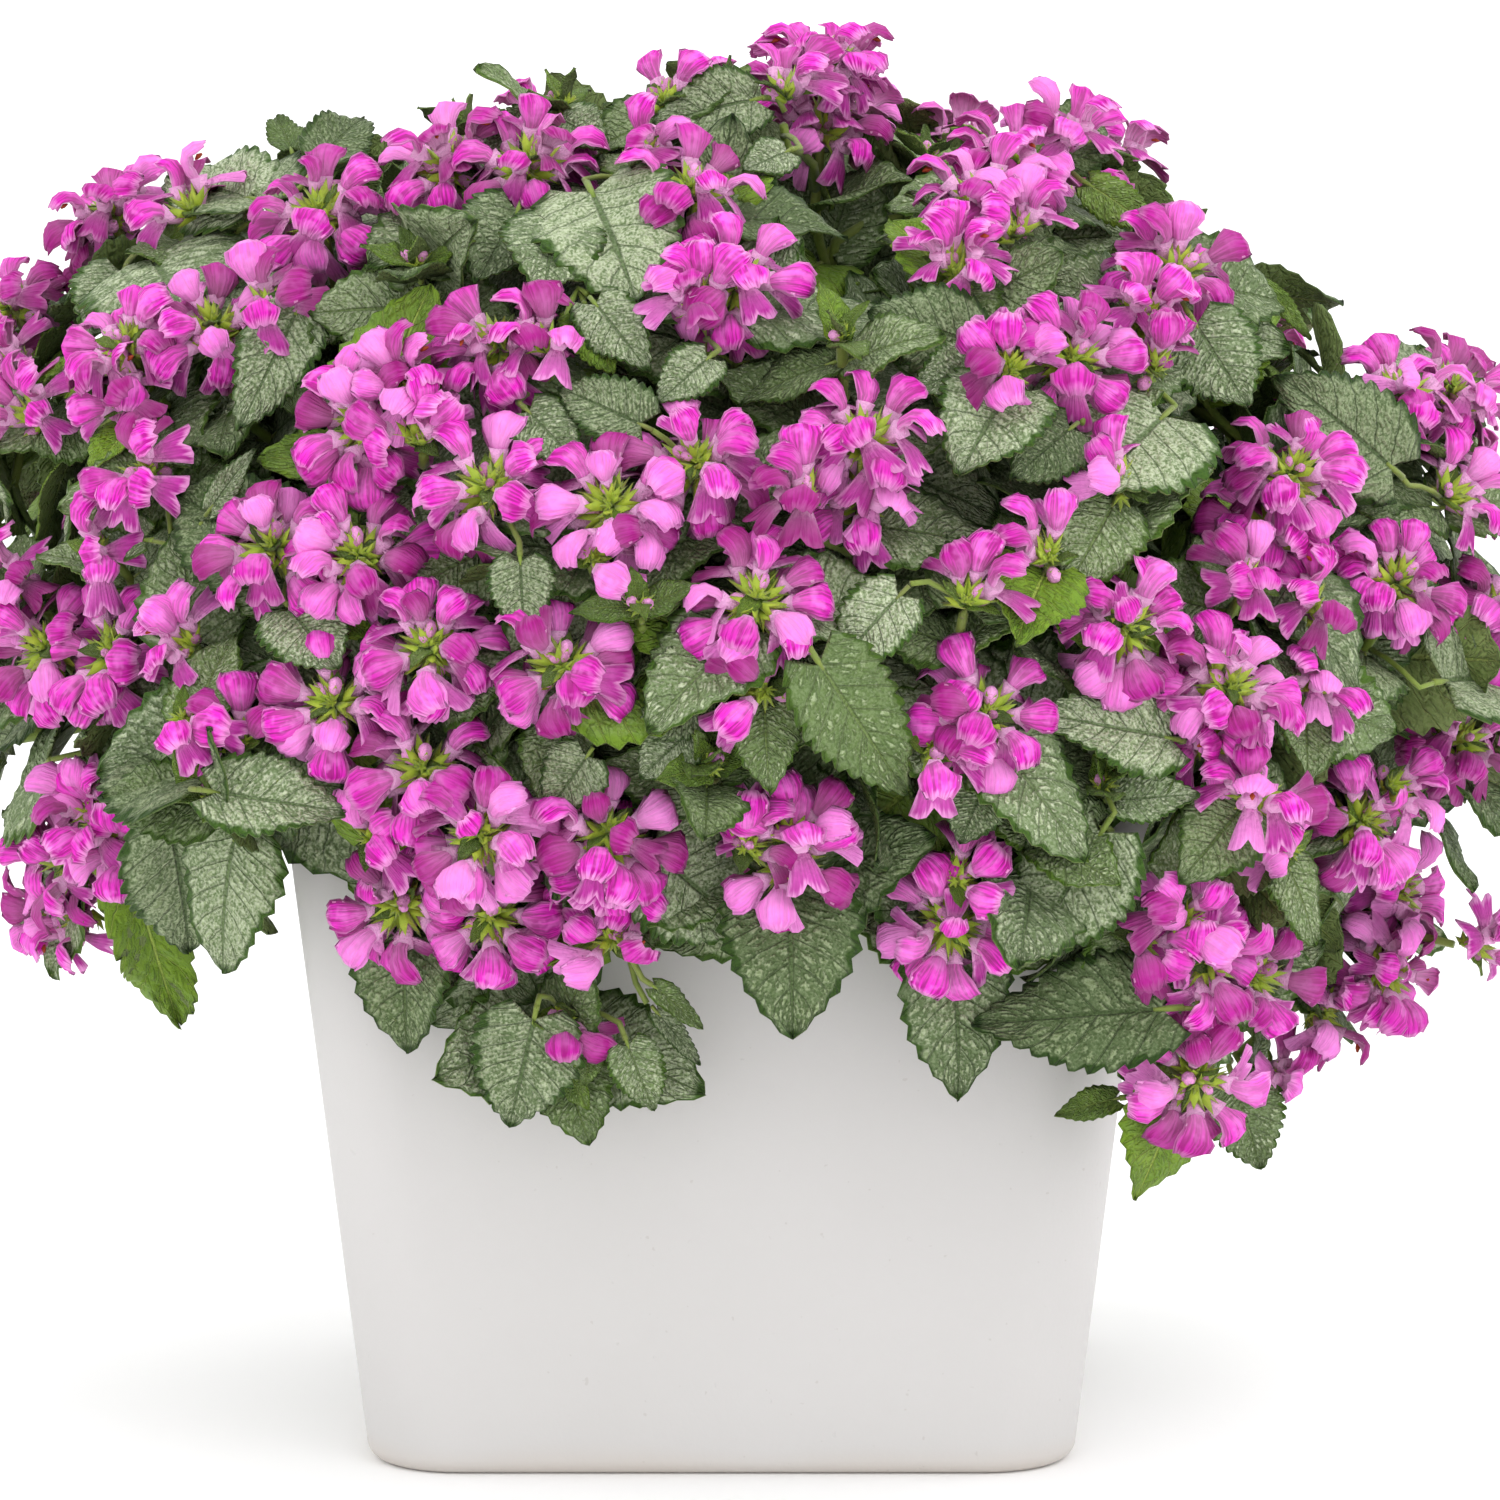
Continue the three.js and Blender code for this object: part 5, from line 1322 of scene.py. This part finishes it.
def add_flowers(stem):
    """Adds the flowers of a stem: to its head, or to its plant's small flowers."""
    if stem.added:
        piece = extras[stem.plant]
        phase = 6 * chance(stem.index, 4, 4)
    else:
        if stem.kind != "joined":
            number = len(heads) + 1
            heads.append(Piece(f"flowers_{number}", "petal", [f"head_{number}"]))
        piece = heads[-1]
        phase = head_phase(stem, f"head_{len(heads)}")
    for w, centre in enumerate(stem.whorls):
        sizes = [corolla_size(stem, w, k) for k in range(COROLLAS)]
        if stem.added:
            sizes = [SIDE_FLOWER_SIZE] * COROLLAS
        piece.add(*whorl(centre, stem.axis, phase, sizes, stem.index * 5 + w, stem.open))


def crown_form(plant):
    """The thick foot of a rooted plant."""
    out, along, foot = crown_frame(plant)
    half = [CROWN_CELL, columns_of[plant] * CROWN_CELL / 2]
    rings = [np.array([foot + out * half[0] * a * s + along * half[1] * b * s + UP * z
                       for a, b in ((1, -1), (1, 1), (-1, 1), (-1, -1))])
             for z, s in ((-CROWN_DEPTH, 0.7), (-2, 1), (CROWN_PROUD - 1, 1), (CROWN_PROUD, 0.86))]
    return lofted(rings, "stem")


for stem in shoots:
    add_stem(stem, plants[stem.plant])
    if stem.kind != "leafy":
        add_flowers(stem)
for k, (leaf, entry) in enumerate(shown_leaves):
    young, silver, width = entry[5:]
    parent, stalk = stalk_to(leaf)
    size = SHOWN if leaf.length > FINE_LENGTH else FINE
    plants[parent.plant].add(stalk, *blade(leaf, size, young, silver, SHOWN_SEED + k, width))
for plant, piece in enumerate(plants):
    piece.add(crown_form(plant))


# Materials

class Wire:
    """What comes out of a node, to be used in sums."""

    def __init__(self, net, socket):
        self.net, self.socket = net, socket

    def __add__(self, other):
        return self.net.sum("ADD", self, other)

    def __sub__(self, other):
        return self.net.sum("SUBTRACT", self, other)

    def __mul__(self, other):
        return self.net.sum("MULTIPLY", self, other)

    def __abs__(self):
        return self.net.sum("ABSOLUTE", self)


class Net:
    """A material's nodes, added one by one."""

    def __init__(self, name):
        self.material = bpy.data.materials.new(name)
        self.material.use_nodes = True
        self.tree = self.material.node_tree
        self.shader = self.tree.nodes["Principled BSDF"]

    def put(self, socket, value):
        if isinstance(value, Wire):
            self.tree.links.new(value.socket, socket)
        else:
            socket.default_value = value

    def node(self, kind, inputs=None, **settings):
        """Adds a node and returns all that comes out of it."""
        made = self.tree.nodes.new(kind)
        for name, value in settings.items():
            setattr(made, name, value)
        for name, value in (inputs or {}).items():
            self.put(made.inputs[name], value)
        return [Wire(self, socket) for socket in made.outputs]

    def sum(self, operation, a, b=0.0):
        return self.node("ShaderNodeMath", {0: a, 1: b}, operation=operation)[0]

    def highest(self, first, *others):
        for other in others:
            first = self.sum("MAXIMUM", first, other)
        return first

    def mix(self, share, a, b, blend="MIX"):
        """The colour a share of the way from one to the other."""
        return self.node("ShaderNodeMix", {"Factor": share, 6: a, 7: b}, data_type="RGBA",
                         blend_type=blend)[2]

    def step(self, value, low, high):
        """A smooth rise from 0 to 1 where a value goes from low to high."""
        return self.node("ShaderNodeMapRange", {"Value": value, "From Min": low, "From Max": high},
                         interpolation_type="SMOOTHSTEP")[0]

    def vector(self, x, y, z):
        return self.node("ShaderNodeCombineXYZ", {0: x, 1: y, 2: z})[0]

    def split(self, vector):
        return self.node("ShaderNodeSeparateXYZ", {0: vector})

    def object_place(self):
        return self.node("ShaderNodeTexCoord")[3]

    def noise(self, scale, detail, place=None, rough=0.5):
        return self.node("ShaderNodeTexNoise", {
            "Vector": place or self.object_place(), "Scale": scale, "Detail": detail,
            "Roughness": rough})[0]

    def surface(self):
        """The place on a form's surface: across it and along it."""
        return self.split(self.node("ShaderNodeUVMap", uv_map="surface")[0])[:2]

    def tone(self):
        """The four tones of a form's points."""
        colour, _, _, last = self.node("ShaderNodeAttribute", attribute_name="tone")
        return (*self.node("ShaderNodeSeparateColor", {0: colour}), last)

    def bump(self, height, strength, distance):
        made = self.node("ShaderNodeBump", {"Height": height, "Strength": strength,
                                            "Distance": distance})
        self.put(self.shader.inputs["Normal"], made[0])

    def shade(self, **values):
        for name, value in values.items():
            self.put(self.shader.inputs[name.replace("_", " ")], value)
        return self.material


def rgb(red, green, blue):
    """A colour of the screen, from 0 to 255, as light."""
    return (*(((c / 255 + 0.055) / 1.055) ** 2.4 for c in (red, green, blue)), 1.0)


def leaf_look():
    """Silver with a green edge and a green net of veins, or fresh green where it is young."""
    net = Net("leaf")
    u, v = net.surface()
    own, young, silver, under = net.tone()
    away = abs(u * 2 - 1)
    blotch = net.noise(170, 3)
    fleck = net.noise(1300, 2)
    rim = net.step(away + blotch * 0.5, 1.06, 1.2)
    tip = net.step(v + blotch * 0.1, 0.95, 1.02)
    midrib = net.step(away, 0.06, 0.02)
    slant = v * 6 - away * 1.5
    side_vein = net.step(abs(net.sum("FRACT", slant) - 0.5), 0.45, 0.5)
    warped = net.vector(u * 8 + blotch * 1.2, slant * 3 + fleck * 0.5, own * 30)
    cells = net.node("ShaderNodeTexVoronoi", {"Vector": warped, "Scale": 1},
                     feature="DISTANCE_TO_EDGE")[0]
    net_vein = net.step(cells + fleck * 0.5 + blotch * 0.4 + silver * 0.4, 0.99, 0.75)
    veins = net.highest(midrib, side_vein * 0.8)
    green = net.highest(rim, tip, veins * 0.75, net_vein * 0.62)
    silver_part = net.mix(net.step(fleck, 0.35, 0.65), rgb(150, 164, 126), rgb(200, 208, 182))
    green_part = net.mix(fleck, rgb(30, 66, 8), rgb(78, 112, 28))
    colour = net.mix(green, silver_part, green_part)
    fresh = net.mix(blotch, rgb(92, 132, 20), rgb(148, 178, 46))
    colour = net.mix(young, colour, net.mix(veins, fresh, rgb(172, 194, 84)))
    below = net.mix(fleck, rgb(142, 156, 100), rgb(104, 126, 60))
    colour = net.mix(under, colour, net.mix(veins, below, rgb(152, 166, 94)))
    shade = net.mix(own, (0.44, 0.5, 0.36, 1), (1, 1.02, 0.96, 1))
    colour = net.mix(1, colour, shade, "MULTIPLY")
    net.bump(fleck * 0.3 - veins * 0.9 + net.step(cells, 0, 0.35) * 0.8, 0.9, 0.001)
    return net.shade(Base_Color=colour, Roughness=blotch * 0.25 + 0.5, Sheen_Weight=0.03,
                     Specular_IOR_Level=0.3)


def stem_look(name, low, high, tint):
    """Streaked green with some of a tint, and fine hairs."""
    net = Net(name)
    colour = net.mix(net.noise(300, 2), rgb(*low), rgb(*high))
    colour = net.mix(net.tone()[0] * 0.35, colour, rgb(*tint))
    hairs = net.noise(2400, 1)
    net.bump(hairs, 0.5, 0.0003)
    return net.shade(Base_Color=colour, Roughness=hairs * 0.3 + 0.45, Sheen_Weight=0.2)


def petal_look():
    """Streaked magenta, darker or paler flower by flower, with a frayed edge that is partly a paler
    margin and partly painted highlight.
    """
    net = Net("petal")
    u, v = net.surface()
    own, pale, spots, _ = net.tone()
    away = abs(u * 2 - 1)
    streak = net.noise(1, 2, net.vector(u * 16, v * 1.6, own * 40))
    patch = net.noise(260, 2)
    colour = net.mix(net.step(streak, 0.4, 0.6), rgb(170, 0, 134), rgb(234, 22, 198))
    centre = net.step(patch - away * 0.3, 0.36, 0.6)
    colour = net.mix(centre * 0.55, colour, rgb(250, 124, 228))
    colour = net.mix(spots * 0.7, colour, rgb(170, 0, 142))
    # The frayed margins and tip: partly the petal's paler margin, partly a painted highlight.
    frayed = streak * 0.4
    edge = net.highest(net.step(away + frayed, 0.95, 1.25), net.step(v + frayed, 1, 1.2))
    colour = net.mix(edge * 0.65, colour, rgb(250, 180, 232))
    colour = net.mix(net.step(own, 0.5, 1) * 0.8, colour, rgb(136, 0, 100))
    colour = net.mix(net.step(own, 0.3, 0) * 0.7, colour, rgb(246, 150, 226))
    colour = net.mix(pale * (streak * 0.8 + 0.45), colour, rgb(248, 208, 236))
    speck = spots * pale * net.step(net.noise(900, 1), 0.5, 0.6)
    colour = net.mix(speck, colour, rgb(140, 4, 116))
    net.bump(streak + patch * 0.6, 0.8, 0.0009)
    return net.shade(Base_Color=colour, Roughness=streak * 0.2 + 0.58, Sheen_Weight=0.02,
                     Specular_IOR_Level=0.14)


def anther_look():
    net = Net("anther")
    grain = net.noise(1500, 2)
    net.bump(grain, 0.4, 0.0002)
    return net.shade(Base_Color=net.mix(grain, rgb(196, 84, 20), rgb(120, 40, 20)),
                     Roughness=grain * 0.3 + 0.5)


def pot_look():
    """Off-white, with a faint cloud, painted contact shade along the foot, specks and pits."""
    net = Net("pot")
    height = net.split(net.object_place())[2]
    cloud = net.noise(9, 3)
    grain = net.noise(700, 3)
    colour = net.mix(cloud, rgb(196, 194, 192), rgb(203, 201, 200))
    # Painted shade: the lowest 16 mm turn up to half way to a darker beige, as where the foot meets
    # the floor.
    foot = net.step(height + cloud * 0.012, 0.016, 0.004)
    colour = net.mix(foot * 0.5, colour, rgb(196, 182, 168))
    speck = net.step(net.noise(420, 1), 0.76, 0.8)
    colour = net.mix(speck * 0.25, colour, rgb(160, 152, 144))
    pits = net.step(net.noise(300, 2), 0.74, 0.8)
    net.bump(grain * 0.3 - pits, 0.35, 0.0004)
    return net.shade(Base_Color=colour, Roughness=grain * 0.16 + 0.42)


def soil_look():
    net = Net("soil")
    grain = net.noise(260, 4, rough=0.7)
    lumps = net.noise(60, 3)
    colour = net.mix(net.step(grain, 0.3, 0.75), rgb(30, 20, 14), rgb(84, 62, 44))
    colour = net.mix(net.step(lumps, 0.6, 0.72), colour, rgb(62, 78, 32))
    net.bump(grain + lumps, 1, 0.003)
    return net.shade(Base_Color=colour, Roughness=grain * 0.2 + 0.78)


materials = {
    "leaf": leaf_look(),
    "stem": stem_look("stem", (92, 122, 30), (146, 168, 62), (104, 74, 66)),
    "calyx": stem_look("calyx", (112, 146, 16), (198, 210, 60), (150, 184, 50)),
    "petal": petal_look(),
    "anther": anther_look(),
    "pot": pot_look(),
    "soil": soil_look(),
}
for piece in [planter_piece, soil_piece] + plants + heads + extras:
    piece.build(materials)


# The floor, the light and the camera

def aimed(name, data, place, target):
    """An object at a place that looks at a target."""
    made = in_scene(name, data)
    made.location = place
    made.rotation_euler = Vector(np.subtract(target, place)).to_track_quat("-Z", "Y").to_euler()
    return made


def floor():
    mesh = bpy.data.meshes.new("floor")
    mesh.from_pydata([(-30, -30, 0), (30, -30, 0), (30, 30, 0), (-30, 30, 0)], [], [(0, 1, 2, 3)])
    mesh.materials.append(Net("floor").shade(Base_Color=rgb(255, 255, 255), Roughness=0.9))
    made = in_scene("floor", mesh)


def key_light():
    data = bpy.data.lights.new("key", "AREA")
    data.energy, data.size, data.shape = 10, 1.2, "DISK"
    aimed("key", data, (0.8, -1.2, 2.0), (0, 0, 0.25))


def world():
    made = bpy.data.worlds.new("studio")
    made.use_nodes = True
    background = made.node_tree.nodes["Background"].inputs
    background["Color"].default_value = (1, 1, 1, 1)
    background["Strength"].default_value = 1.4
    bpy.context.scene.world = made


def camera():
    """A camera in the photograph's eye."""
    data = bpy.data.cameras.new("camera")
    data.sensor_width = 36
    data.lens = 18 * PIXELS_PER_RADIAN / PHOTO_MIDDLE
    data.clip_start, data.clip_end = 0.05, 100
    bpy.context.scene.camera = aimed("camera", data, EYE * MM, LOOK_AT * MM)


floor()
world()
key_light()
camera()
bpy.context.scene.view_settings.view_transform = "Standard"
